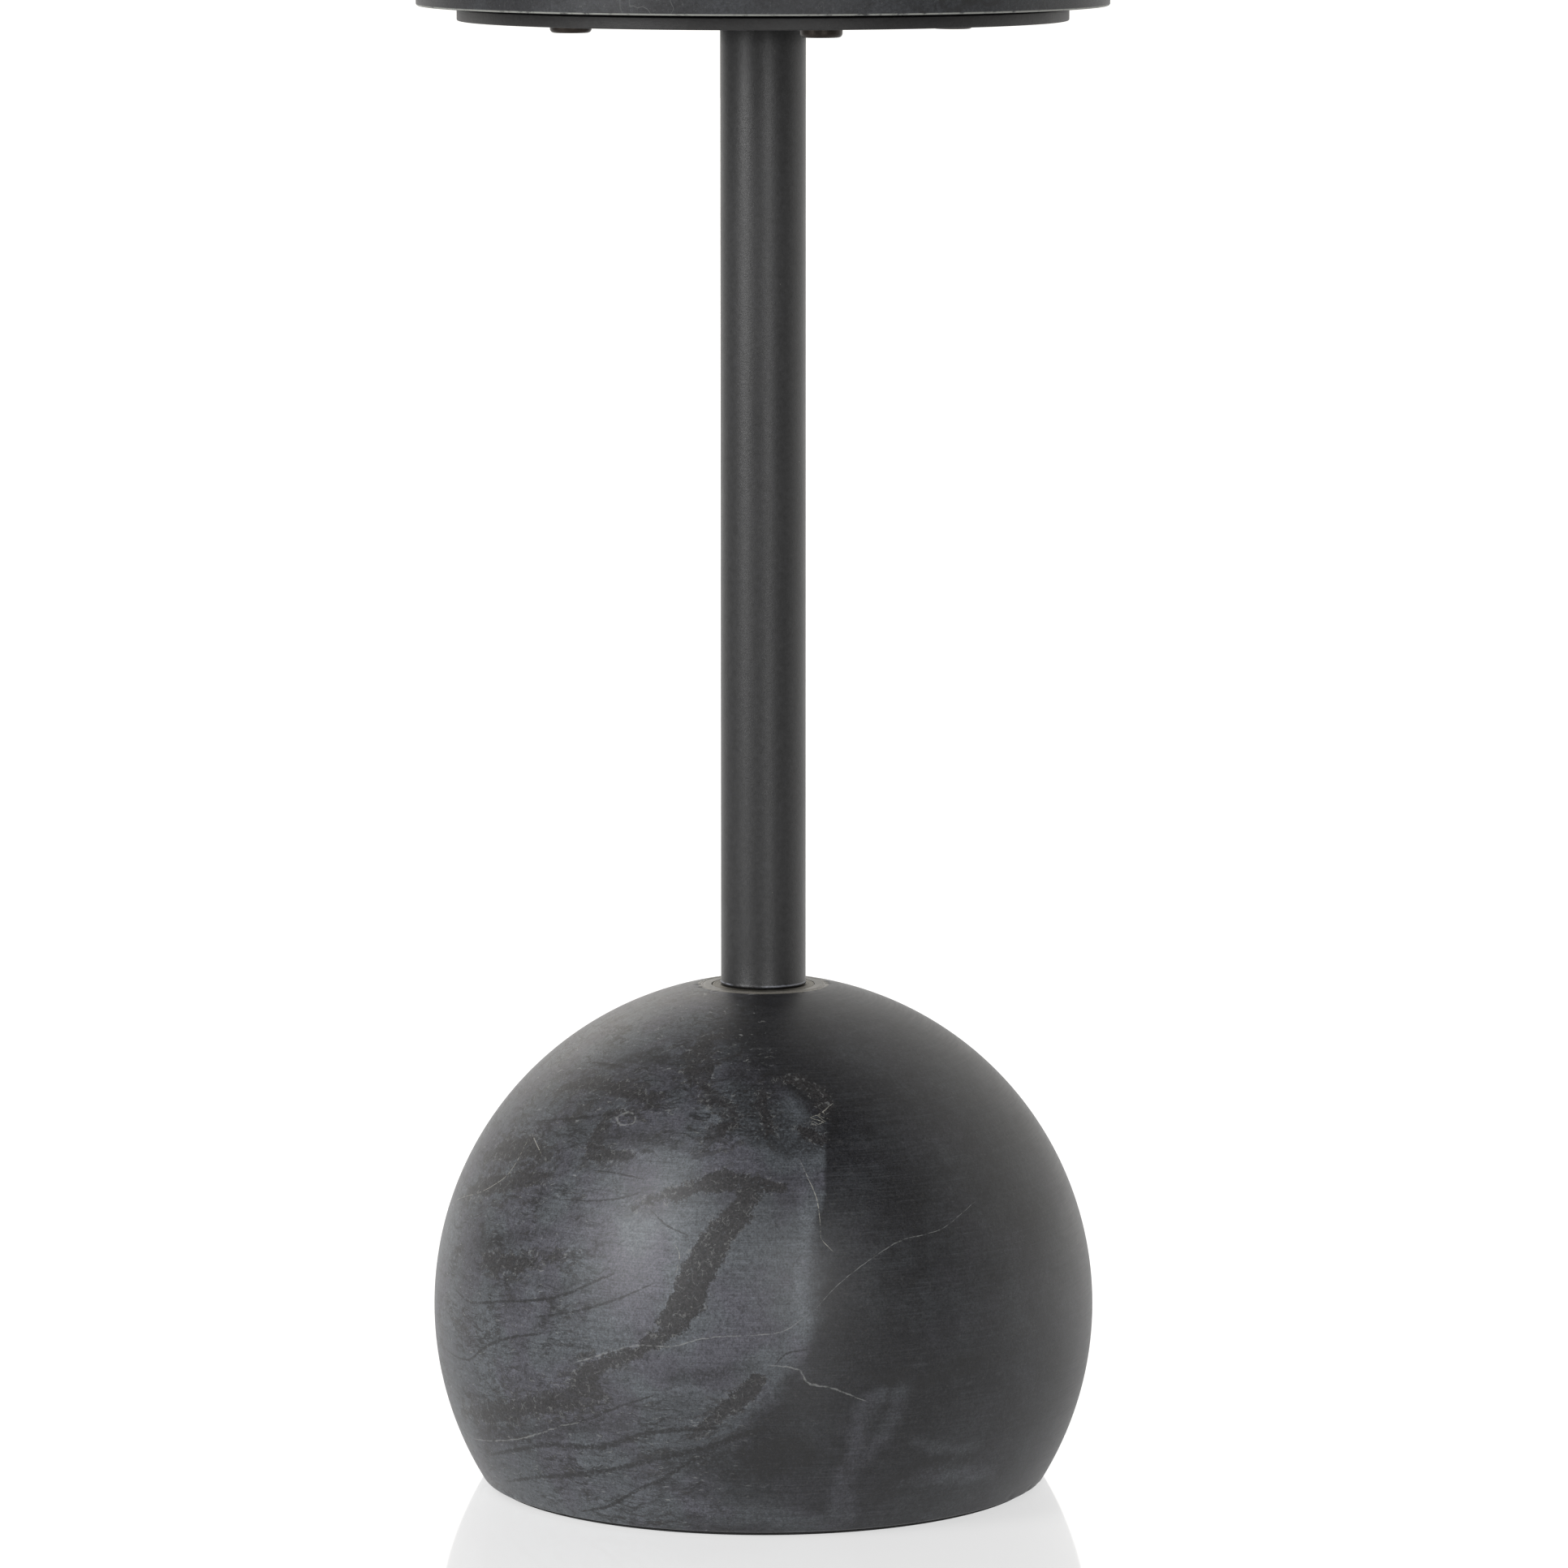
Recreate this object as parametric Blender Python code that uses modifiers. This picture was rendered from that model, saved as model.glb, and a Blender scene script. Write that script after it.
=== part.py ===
"""Round pedestal drinks table: a stone disc on a steel plate, a steel column, and a cut marble ball.

Metres, +Z up. The origin is the centre of the pad's lower face, on the floor under the column.
The front is -Y.
"""

import math

import bmesh
import bpy

# Clearances
GAP = 0.0003
MERGE_DISTANCE = 0.00001

# Marble ball base
BALL_RADIUS = 0.124
BALL_CENTRE_Z = 0.066
POLE_FLAT_RADIUS = 0.0243
FOOT_EDGE_RADIUS = 0.0015
COUNTERBORE_DEPTH = 0.0033
ROD_BORE_RADIUS = 0.007
RECESS_RADIUS = 0.026
RECESS_DEPTH = 0.028

# Pad under the base
PAD_RADIUS = 0.103
PAD_HOLE_RADIUS = 0.028
PAD_THICKNESS = 0.0012

# Column and its foot
COLUMN_RADIUS = 0.015875
COLUMN_WALL = 0.0015
COLUMN_RIM_RADIUS = 0.0007
FLANGE_RADIUS = 0.0192
FLANGE_THICKNESS = 0.003
PLUG_LENGTH = 0.026
PLUG_INSET = 0.0015
WELD_LEG = 0.0042
WELD_CROWN = 0.0005
WELD_TOE = 0.94

# Tie rod and its nut, M12
ROD_RADIUS = 0.006
ROD_CHAMFER = 0.001
ROD_BELOW_NUT = 0.005
ROD_IN_PLUG = 0.024
BASE_WASHER_RADIUS = 0.020
BASE_WASHER_THICKNESS = 0.003
SPRING_WASHER_RADIUS = 0.0104
SPRING_WASHER_THICKNESS = 0.0025
SPRING_WASHER_SLOT = 0.0014
SPRING_WASHER_SLANT = math.radians(30)
NUT_ACROSS_FLATS = 0.018
NUT_HEIGHT = 0.0108
NUT_CHAMFER = 0.0012

# Plate under the top
PLATE_RADIUS = 0.113
PLATE_THICKNESS = 0.0045
PLATE_BOTTOM_Z = 0.5475
PLATE_EDGE = 0.0005
PLATE_HOLE_RADIUS = 0.0045
GASKET_RADIUS = 0.1105
GASKET_THICKNESS = 0.0004
GASKET_HOLE_RADIUS = 0.0072

# Stone top
TOP_RADIUS = 0.128
TOP_THICKNESS = 0.018
TOP_EDGE = 0.0009

# Low-head bolts, M8, and the inserts that they screw into
BOLT_COUNT = 4
BOLT_CIRCLE_RADIUS = 0.0735
BOLT_PHASE = math.radians(16.6)
BOLT_RADIUS = 0.004
BOLT_LENGTH = 0.016
BOLT_HEAD_RADIUS = 0.0077
BOLT_HEAD_HEIGHT = 0.0042
BOLT_HEAD_EDGE = 0.0010
BOLT_SOCKET_ACROSS_FLATS = 0.005
BOLT_SOCKET_DEPTH = 0.0024
INSERT_RADIUS = 0.006
INSERT_LENGTH = 0.0124
INSERT_GROOVE_DEPTH = 0.0005
INSERT_GROOVE_WIDTH = 0.0012
INSERT_GROOVES = 2
INSERT_BORE_DEPTH = 0.013

# Facets round one turn
LARGE_STEPS = 80
BALL_STEPS = 72
COLUMN_STEPS = 40
SMALL_STEPS = 24
BALL_ARC_POINTS = 22
EDGE_ARC_POINTS = 3

# Heights worked out from the sizes above
BALL_BOTTOM_Z = PAD_THICKNESS + GAP
POLE_FLAT_Z = BALL_CENTRE_Z + math.sqrt(BALL_RADIUS**2 - POLE_FLAT_RADIUS**2)
COLUMN_BOTTOM_Z = POLE_FLAT_Z + GAP
COLUMN_LENGTH = PLATE_BOTTOM_Z - GAP - COLUMN_BOTTOM_Z
RECESS_TOP_Z = BALL_BOTTOM_Z + RECESS_DEPTH
BASE_WASHER_Z = RECESS_TOP_Z - GAP - BASE_WASHER_THICKNESS
SPRING_WASHER_Z = BASE_WASHER_Z - GAP - SPRING_WASHER_THICKNESS
NUT_Z = SPRING_WASHER_Z - GAP - NUT_HEIGHT
ROD_BOTTOM_Z = NUT_Z - ROD_BELOW_NUT
PLUG_Z = COLUMN_BOTTOM_Z + PLUG_INSET
ROD_TOP_Z = PLUG_Z + ROD_IN_PLUG
GASKET_Z = PLATE_BOTTOM_Z + PLATE_THICKNESS + GAP
TOP_Z = GASKET_Z + GASKET_THICKNESS + GAP
BOLT_SEAT_Z = PLATE_BOTTOM_Z - GAP


def clear_scene():
    for obj in list(bpy.data.objects):
        bpy.data.objects.remove(obj, do_unlink=True)


def new_collection(name):
    collection = bpy.data.collections.new(name)
    bpy.context.scene.collection.children.link(collection)
    return collection


clear_scene()
PARTS = new_collection("round_pedestal_table")
CUTTERS = new_collection("cutters")


def new_material(name, colour, roughness, metallic):
    material = bpy.data.materials.new(name)
    material.use_nodes = True
    shader = material.node_tree.nodes["Principled BSDF"]
    shader.inputs["Base Color"].default_value = (*colour, 1.0)
    shader.inputs["Roughness"].default_value = roughness
    shader.inputs["Metallic"].default_value = metallic
    material.diffuse_color = (*colour, 1.0)
    return material


BLACK_MARBLE = new_material("black_marble", (0.044, 0.048, 0.054), 0.45, 0.0)
TOP_MARBLE = new_material("top_marble", (0.040, 0.042, 0.046), 0.40, 0.0)
BLACK_STEEL = new_material("black_powder_coat", (0.026, 0.026, 0.027), 0.50, 0.0)
COLUMN_BLACK = new_material("black_satin_paint", (0.024, 0.024, 0.025), 0.42, 0.0)
BLACK_OXIDE = new_material("black_oxide_steel", (0.022, 0.018, 0.015), 0.38, 0.9)
GREY_FLANGE = new_material("dusty_steel", (0.16, 0.15, 0.13), 0.55, 0.6)
ZINC = new_material("zinc_plated_steel", (0.55, 0.56, 0.57), 0.35, 1.0)
BARE_STEEL = new_material("bare_steel", (0.38, 0.38, 0.39), 0.45, 1.0)
BRASS = new_material("brass", (0.63, 0.46, 0.20), 0.35, 1.0)
BLACK_FOAM = new_material("black_foam", (0.014, 0.014, 0.014), 0.90, 0.0)
BLACK_RUBBER = new_material("black_rubber", (0.012, 0.012, 0.013), 0.80, 0.0)

ROOT = bpy.data.objects.new("table_origin", None)
PARTS.objects.link(ROOT)


def add_part(name, mesh, material, location, turn=0.0):
    """Links a mesh as a named part, under the table's empty."""
    obj = bpy.data.objects.new(name, mesh)
    mesh.materials.append(material)
    obj.location = location
    obj.rotation_euler = (0.0, 0.0, turn)
    obj.parent = ROOT
    PARTS.objects.link(obj)
    return obj


def outline_mesh(name, outline, closed):
    """A profile in the XZ plane: (radius, height) points that run down the outer side."""
    edges = [(i, i + 1) for i in range(len(outline) - 1)]
    if closed:
        edges.append((len(outline) - 1, 0))
    mesh = bpy.data.meshes.new(name)
    mesh.from_pydata([(radius, 0.0, height) for radius, height in outline], edges, [])
    return mesh


def add_screw(obj, steps):
    screw = obj.modifiers.new("Turn", "SCREW")
    screw.axis = "Z"
    screw.angle = math.tau
    screw.steps = steps
    screw.render_steps = steps
    screw.use_merge_vertices = True
    screw.merge_threshold = MERGE_DISTANCE


def turned(name, outline, steps, material, location, closed=False, turn=0.0):
    """A part turned from a profile; closed profiles make rings, open ones run from axis to axis."""
    obj = add_part(name, outline_mesh(name, outline, closed), material, location, turn)
    add_screw(obj, steps)
    return obj


def cylinder_cutter(name, radius, depth, location, segments=SMALL_STEPS, turn=0.0):
    """An upright cylinder or prism from location upwards, used only to cut."""
    mesh = bpy.data.meshes.new(name)
    shape = bmesh.new()
    bmesh.ops.create_cone(
        shape, cap_ends=True, segments=segments, radius1=radius, radius2=radius, depth=depth
    )
    bmesh.ops.translate(shape, verts=shape.verts, vec=(0.0, 0.0, depth / 2))
    shape.to_mesh(mesh)
    shape.free()
    return add_cutter(name, mesh, location, turn)


def add_cutter(name, mesh, location, turn=0.0):
    obj = bpy.data.objects.new(name, mesh)
    obj.location = location
    obj.rotation_euler = (0.0, 0.0, turn)
    obj.hide_render = True
    obj.display_type = "WIRE"
    CUTTERS.objects.link(obj)
    return obj


def combine(obj, other, operation="DIFFERENCE"):
    boolean = obj.modifiers.new(other.name, "BOOLEAN")
    boolean.operation = operation
    boolean.solver = "EXACT"
    boolean.object = other


def finish_mesh(obj):
    """Keeps the evaluated shape as the part's mesh and shades it smooth up to 30 degree edges."""
    bpy.context.view_layer.update()
    graph = bpy.context.evaluated_depsgraph_get()
    mesh = bpy.data.meshes.new_from_object(obj.evaluated_get(graph))
    mesh.name = obj.name
    obj.modifiers.clear()
    obj.data = mesh
    mesh.shade_smooth()
    mesh.set_sharp_from_angle(angle=math.radians(30))


def quarter_arc(centre, radius, start, points=EDGE_ARC_POINTS):
    """Points of a clockwise quarter circle, from the angle start down by 90 degrees."""
    angles = [start - math.pi / 2 * i / points for i in range(points + 1)]
    return [
        (centre[0] + radius * math.cos(angle), centre[1] + radius * math.sin(angle))
        for angle in angles
    ]


def rounded_disc(radius, thickness, edge):
    """Profile of a solid disc whose two rims are rounded."""
    upper = quarter_arc((radius - edge, thickness - edge), edge, math.pi / 2)
    lower = quarter_arc((radius - edge, edge), edge, 0.0)
    return [(0.0, thickness)] + upper + lower + [(0.0, 0.0)]


def ring_outline(outer, inner, thickness, edge):
    """Profile of a flat ring whose outer rims are chamfered."""
    return [
        (outer - edge, thickness),
        (outer, thickness - edge),
        (outer, edge),
        (outer - edge, 0.0),
        (inner, 0.0),
        (inner, thickness),
    ]


def bolt_places():
    """Number, angle and XY place of each bolt."""
    for i in range(BOLT_COUNT):
        angle = BOLT_PHASE + math.tau * i / BOLT_COUNT
        place = (BOLT_CIRCLE_RADIUS * math.cos(angle), BOLT_CIRCLE_RADIUS * math.sin(angle))
        yield i + 1, angle, place


# Marble ball base


def ball_outline():
    """The ball cut flat at the pole and at the foot, bored for the rod, heights from its underside."""
    centre = BALL_CENTRE_Z - BALL_BOTTOM_Z
    start = math.asin(POLE_FLAT_RADIUS / BALL_RADIUS)
    edge_centre_z = FOOT_EDGE_RADIUS
    edge_reach = BALL_RADIUS - FOOT_EDGE_RADIUS
    edge_centre_r = math.sqrt(edge_reach**2 - (centre - edge_centre_z) ** 2)
    end = math.acos((edge_centre_z - centre) / edge_reach)
    points = []
    for i in range(BALL_ARC_POINTS + 1):
        polar = start + (end - start) * i / BALL_ARC_POINTS
        points.append((BALL_RADIUS * math.sin(polar), centre + BALL_RADIUS * math.cos(polar)))
    for i in range(1, EDGE_ARC_POINTS + 1):
        polar = end + (math.pi - end) * i / EDGE_ARC_POINTS
        radius = edge_centre_r + FOOT_EDGE_RADIUS * math.sin(polar)
        points.append((radius, edge_centre_z + FOOT_EDGE_RADIUS * math.cos(polar)))
    counterbore_radius = FLANGE_RADIUS + GAP
    pole = POLE_FLAT_Z - BALL_BOTTOM_Z
    seat = pole - COUNTERBORE_DEPTH
    points += [
        (RECESS_RADIUS, 0.0),
        (RECESS_RADIUS, RECESS_DEPTH),
        (ROD_BORE_RADIUS, RECESS_DEPTH),
        (ROD_BORE_RADIUS, seat),
        (counterbore_radius, seat),
        (counterbore_radius, pole),
    ]
    return points


def make_marble_base():
    place = (0, 0, BALL_BOTTOM_Z)
    finish_mesh(turned("marble_base", ball_outline(), BALL_STEPS, BLACK_MARBLE, place, closed=True))


def make_base_pad():
    outline = ring_outline(PAD_RADIUS, PAD_HOLE_RADIUS, PAD_THICKNESS, PAD_THICKNESS / 4)
    finish_mesh(turned("base_pad", outline, LARGE_STEPS, BLACK_FOAM, (0, 0, 0), closed=True))


# Tie rod, washers and nut in the recess of the base


def make_tie_rod():
    length = ROD_TOP_Z - ROD_BOTTOM_Z
    narrow = ROD_RADIUS - ROD_CHAMFER
    outline = [
        (0.0, length),
        (narrow, length),
        (ROD_RADIUS, length - ROD_CHAMFER),
        (ROD_RADIUS, ROD_CHAMFER),
        (narrow, 0.0),
        (0.0, 0.0),
    ]
    finish_mesh(turned("tie_rod", outline, SMALL_STEPS, ZINC, (0, 0, ROD_BOTTOM_Z)))


def make_base_washer():
    bore = ROD_RADIUS + 2 * GAP
    outline = ring_outline(BASE_WASHER_RADIUS, bore, BASE_WASHER_THICKNESS, PLATE_EDGE)
    finish_mesh(turned("base_washer", outline, COLUMN_STEPS, ZINC, (0, 0, BASE_WASHER_Z), closed=True))


def make_spring_washer():
    """A square-section ring, split by a slanted slot."""
    bore = ROD_RADIUS + GAP
    outline = [
        (SPRING_WASHER_RADIUS, SPRING_WASHER_THICKNESS),
        (SPRING_WASHER_RADIUS, 0.0),
        (bore, 0.0),
        (bore, SPRING_WASHER_THICKNESS),
    ]
    place = (0, 0, SPRING_WASHER_Z)
    washer = turned("spring_washer", outline, SMALL_STEPS, ZINC, place, closed=True)
    mesh = bpy.data.meshes.new("spring_washer_slot")
    shape = bmesh.new()
    bmesh.ops.create_cube(shape, size=1.0)
    reach = 2 * SPRING_WASHER_RADIUS
    tall = 4 * SPRING_WASHER_THICKNESS
    bmesh.ops.scale(shape, verts=shape.verts, vec=(reach, SPRING_WASHER_SLOT, tall))
    shape.to_mesh(mesh)
    shape.free()
    middle = SPRING_WASHER_Z + SPRING_WASHER_THICKNESS / 2
    slot = add_cutter("spring_washer_slot", mesh, (reach / 2, 0, middle))
    slot.rotation_euler = (SPRING_WASHER_SLANT, 0, 0)
    combine(washer, slot)
    finish_mesh(washer)


def make_hex_nut():
    """A hexagonal prism, its corners turned off by a chamfered drum, with a bore for the rod."""
    name = "hex_nut"
    mesh = bpy.data.meshes.new(name)
    shape = bmesh.new()
    corner = NUT_ACROSS_FLATS / math.sqrt(3)
    bmesh.ops.create_cone(
        shape, cap_ends=True, segments=6, radius1=corner, radius2=corner, depth=NUT_HEIGHT
    )
    bmesh.ops.translate(shape, verts=shape.verts, vec=(0, 0, NUT_HEIGHT / 2))
    shape.to_mesh(mesh)
    shape.free()
    nut = add_part(name, mesh, ZINC, (0, 0, NUT_Z))
    drum_outline = [
        (0.0, NUT_HEIGHT + GAP),
        (corner - NUT_CHAMFER, NUT_HEIGHT + GAP),
        (corner + GAP, NUT_HEIGHT - NUT_CHAMFER / 2),
        (corner + GAP, NUT_CHAMFER / 2),
        (corner - NUT_CHAMFER, -GAP),
        (0.0, -GAP),
    ]
    drum = add_cutter("nut_drum", outline_mesh("nut_drum", drum_outline, False), (0, 0, NUT_Z))
    add_screw(drum, COLUMN_STEPS)
    bore = cylinder_cutter("nut_bore", ROD_RADIUS + GAP, 2 * NUT_HEIGHT, (0, 0, NUT_Z - NUT_HEIGHT / 2))
    combine(nut, drum, "INTERSECT")
    combine(nut, bore)
    finish_mesh(nut)


# Column


def make_foot_flange():
    outline = ring_outline(FLANGE_RADIUS, ROD_RADIUS + 2 * GAP, FLANGE_THICKNESS, GAP)
    place = (0, 0, POLE_FLAT_Z - FLANGE_THICKNESS)
    finish_mesh(turned("foot_flange", outline, COLUMN_STEPS, GREY_FLANGE, place, closed=True))


def make_column_tube():
    """A plain tube whose lower outer rim is rounded over."""
    inner = COLUMN_RADIUS - COLUMN_WALL
    rim = quarter_arc((COLUMN_RADIUS - COLUMN_RIM_RADIUS, COLUMN_RIM_RADIUS), COLUMN_RIM_RADIUS, 0.0)
    outline = [(COLUMN_RADIUS, COLUMN_LENGTH)] + rim + [(inner, 0.0), (inner, COLUMN_LENGTH)]
    place = (0, 0, COLUMN_BOTTOM_Z)
    finish_mesh(turned("column_tube", outline, COLUMN_STEPS, COLUMN_BLACK, place, closed=True))


def make_column_plug():
    """The threaded plug in the tube's lower end, which the tie rod pulls on."""
    outer = COLUMN_RADIUS - COLUMN_WALL - GAP
    outline = ring_outline(outer, ROD_RADIUS + GAP, PLUG_LENGTH, PLATE_EDGE)
    finish_mesh(turned("column_plug", outline, COLUMN_STEPS, BARE_STEEL, (0, 0, PLUG_Z), closed=True))


def make_weld_bead():
    """The fillet weld between the column's upper end and the plate, slightly crowned."""
    inner = COLUMN_RADIUS + GAP
    outer = inner + WELD_LEG
    steps = EDGE_ARC_POINTS + 1
    face = []
    for i in range(steps + 1):
        along = i / steps
        crown = WELD_CROWN * math.sin(math.pi * along)
        face.append((outer - WELD_LEG * WELD_TOE * along + crown, WELD_LEG * (1 - along) - crown))
    outline = face + [(inner, 0.0), (inner, WELD_LEG)]
    place = (0, 0, PLATE_BOTTOM_Z - GAP - WELD_LEG)
    finish_mesh(turned("upper_weld_bead", outline, COLUMN_STEPS, BLACK_STEEL, place, closed=True))


# Plate, gasket and top


def drill(obj, name, radius, depth, bottom_z):
    """Cuts one round hole at each bolt place."""
    for number, angle, place in bolt_places():
        cutter = cylinder_cutter(f"{name}_{number}", radius, depth, (*place, bottom_z), turn=angle)
        combine(obj, cutter)
    finish_mesh(obj)


def make_mounting_plate():
    outline = rounded_disc(PLATE_RADIUS, PLATE_THICKNESS, PLATE_EDGE)
    plate = turned("mounting_plate", outline, LARGE_STEPS, BLACK_STEEL, (0, 0, PLATE_BOTTOM_Z))
    below = PLATE_BOTTOM_Z - PLATE_THICKNESS
    drill(plate, "plate_hole", PLATE_HOLE_RADIUS, 3 * PLATE_THICKNESS, below)


def make_top_gasket():
    outline = [
        (0.0, GASKET_THICKNESS),
        (GASKET_RADIUS, GASKET_THICKNESS),
        (GASKET_RADIUS, 0.0),
        (0.0, 0.0),
    ]
    gasket = turned("top_gasket", outline, LARGE_STEPS, BLACK_RUBBER, (0, 0, GASKET_Z))
    below = GASKET_Z - PLATE_THICKNESS
    drill(gasket, "gasket_hole", GASKET_HOLE_RADIUS, 3 * PLATE_THICKNESS, below)


def make_stone_top():
    outline = rounded_disc(TOP_RADIUS, TOP_THICKNESS, TOP_EDGE)
    top = turned("stone_top", outline, LARGE_STEPS, TOP_MARBLE, (0, 0, TOP_Z))
    below = TOP_Z - PLATE_THICKNESS
    drill(top, "insert_bore", INSERT_RADIUS + GAP, INSERT_BORE_DEPTH + PLATE_THICKNESS, below)


# Bolts and inserts


def insert_outline():
    """A sleeve with gripping grooves round its outside."""
    pitch = INSERT_LENGTH / (INSERT_GROOVES + 1)
    waist = INSERT_RADIUS - INSERT_GROOVE_DEPTH
    points = [(INSERT_RADIUS, INSERT_LENGTH)]
    for i in range(INSERT_GROOVES):
        middle = INSERT_LENGTH - pitch * (i + 1)
        points += [
            (INSERT_RADIUS, middle + INSERT_GROOVE_WIDTH / 2),
            (waist, middle + INSERT_GROOVE_WIDTH / 4),
            (waist, middle - INSERT_GROOVE_WIDTH / 4),
            (INSERT_RADIUS, middle - INSERT_GROOVE_WIDTH / 2),
        ]
    bore = BOLT_RADIUS + GAP
    return points + [(INSERT_RADIUS, 0.0), (bore, 0.0), (bore, INSERT_LENGTH)]


def bolt_outline():
    """Shank upwards from a low round head, heights from the head's lower face."""
    length = BOLT_HEAD_HEIGHT + BOLT_LENGTH
    tip = BOLT_RADIUS - ROD_CHAMFER
    rim_centre = (BOLT_HEAD_RADIUS - BOLT_HEAD_EDGE, BOLT_HEAD_EDGE)
    return [
        (0.0, length),
        (tip, length),
        (BOLT_RADIUS, length - ROD_CHAMFER),
        (BOLT_RADIUS, BOLT_HEAD_HEIGHT),
        (BOLT_HEAD_RADIUS - GAP, BOLT_HEAD_HEIGHT),
        (BOLT_HEAD_RADIUS, BOLT_HEAD_HEIGHT - GAP),
        *quarter_arc(rim_centre, BOLT_HEAD_EDGE, 0.0),
        (0.0, 0.0),
    ]


def make_inserts():
    for number, angle, place in bolt_places():
        name = f"threaded_insert_{number}"
        where = (*place, TOP_Z)
        finish_mesh(turned(name, insert_outline(), SMALL_STEPS, BRASS, where, closed=True, turn=angle))


def make_bolts():
    corner = BOLT_SOCKET_ACROSS_FLATS / math.sqrt(3)
    head_z = BOLT_SEAT_Z - BOLT_HEAD_HEIGHT
    for number, angle, place in bolt_places():
        name = f"top_bolt_{number}"
        where = (*place, head_z)
        bolt = turned(name, bolt_outline(), SMALL_STEPS, BLACK_OXIDE, where, turn=angle)
        start = (*place, head_z - BOLT_SOCKET_DEPTH)
        socket = cylinder_cutter(f"bolt_socket_{number}", corner, 2 * BOLT_SOCKET_DEPTH, start, 6, angle)
        combine(bolt, socket)
        finish_mesh(bolt)


make_marble_base()
make_base_pad()
make_tie_rod()
make_base_washer()
make_spring_washer()
make_hex_nut()
make_foot_flange()
make_column_tube()
make_column_plug()
make_weld_bead()
make_mounting_plate()
make_top_gasket()
make_stone_top()
make_inserts()
make_bolts()
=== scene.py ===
import math

import bmesh
import bpy
import numpy as np
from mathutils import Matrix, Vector


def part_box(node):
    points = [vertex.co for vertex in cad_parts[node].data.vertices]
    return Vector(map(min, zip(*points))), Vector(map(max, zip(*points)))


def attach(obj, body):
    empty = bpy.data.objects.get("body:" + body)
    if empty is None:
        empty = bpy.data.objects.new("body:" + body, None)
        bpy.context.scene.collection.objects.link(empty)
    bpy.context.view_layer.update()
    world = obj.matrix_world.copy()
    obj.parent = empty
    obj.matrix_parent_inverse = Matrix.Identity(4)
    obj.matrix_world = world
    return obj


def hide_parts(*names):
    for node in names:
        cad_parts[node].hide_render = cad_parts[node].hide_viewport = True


# Looks for the round pedestal table. Metres in the frame; veins and stone detail are given in millimetres.
# Azimuths are degrees from the front, positive to the right as the front camera sees it.

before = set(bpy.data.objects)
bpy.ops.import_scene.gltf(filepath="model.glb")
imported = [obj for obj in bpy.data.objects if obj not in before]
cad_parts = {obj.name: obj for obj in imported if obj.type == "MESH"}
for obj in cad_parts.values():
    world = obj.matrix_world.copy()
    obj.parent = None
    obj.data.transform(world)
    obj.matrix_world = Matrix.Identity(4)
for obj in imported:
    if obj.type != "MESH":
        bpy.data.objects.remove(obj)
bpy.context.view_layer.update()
rng = np.random.default_rng(7)
MM = 0.001


# Sizes read from the frame


def node_radius(node):
    low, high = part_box(node)
    return (high.x - low.x) / 2


def node_centre(node):
    low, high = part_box(node)
    return (low + high) / 2


BASE_LOW, BASE_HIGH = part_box("marble_base")
BALL_RADIUS = node_radius("marble_base")
POLE_RADIUS = 0.0243
BALL_CENTRE_Z = BASE_HIGH.z - math.sqrt(BALL_RADIUS**2 - POLE_RADIUS**2)
FLANGE_LOW, FLANGE_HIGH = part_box("foot_flange")
FLANGE_RADIUS = node_radius("foot_flange")
COLUMN_LOW, COLUMN_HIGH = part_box("column_tube")
COLUMN_RADIUS = node_radius("column_tube")
PLATE_LOW, PLATE_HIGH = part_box("mounting_plate")
PLATE_RADIUS = node_radius("mounting_plate")
TOP_LOW, TOP_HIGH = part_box("stone_top")
TOP_RADIUS = node_radius("stone_top")
CLEARANCE = 0.0003
SMOOTH_ANGLE = 32.0
DISC_RINGS = 3


# Meshes


def linked(name, data, place=(0, 0, 0), rotation=(0, 0, 0)):
    """A new object in the scene."""
    obj = bpy.data.objects.new(name, data)
    obj.location = place
    obj.rotation_euler = rotation
    bpy.context.scene.collection.objects.link(obj)
    return obj


def mesh_object(name, vertices, faces, smooth_angle=SMOOTH_ANGLE):
    mesh = bpy.data.meshes.new(name)
    mesh.from_pydata([tuple(v) for v in vertices], [], faces)
    mesh.update()
    mesh.shade_smooth()
    mesh.set_sharp_from_angle(angle=math.radians(smooth_angle))
    return linked(name, mesh)


def turned_mesh(profile, steps):
    """Vertices and faces of a turned shape. A closed ring of (radius, height) points makes a ring."""
    angles = np.arange(steps) * math.tau / steps
    rows = len(profile)
    vertices = np.zeros((steps * rows, 3))
    for row, (radius, height) in enumerate(profile):
        vertices[row::rows, 0] = radius * np.cos(angles)
        vertices[row::rows, 1] = radius * np.sin(angles)
        vertices[row::rows, 2] = height
    faces = []
    for step in range(steps):
        here = step * rows
        there = ((step + 1) % steps) * rows
        for row in range(rows):
            after = (row + 1) % rows
            faces.append((here + row, here + after, there + after, there + row))
    return vertices, faces


def turned_disc(profile, steps):
    """A turned solid: the profile starts and ends on the axis."""
    vertices, faces = turned_mesh(profile[1:-1], steps)
    rows = len(profile) - 2
    faces = [face for face in faces if not (face[0] % rows == rows - 1 and face[1] % rows == 0)]
    top = len(vertices)
    vertices = np.vstack([vertices, [(0, 0, profile[0][1]), (0, 0, profile[-1][1])]])
    for step in range(steps):
        here = step * rows
        there = ((step + 1) % steps) * rows
        faces.append((top, here, there))
        faces.append((top + 1, there + rows - 1, here + rows - 1))
    return vertices, faces


def arc(centre, radius, start, end, points):
    """Points along an arc from one angle to another, in degrees."""
    angles = np.radians(np.linspace(start, end, points))
    return [(centre[0] + radius * math.cos(a), centre[1] + radius * math.sin(a)) for a in angles]


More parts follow.
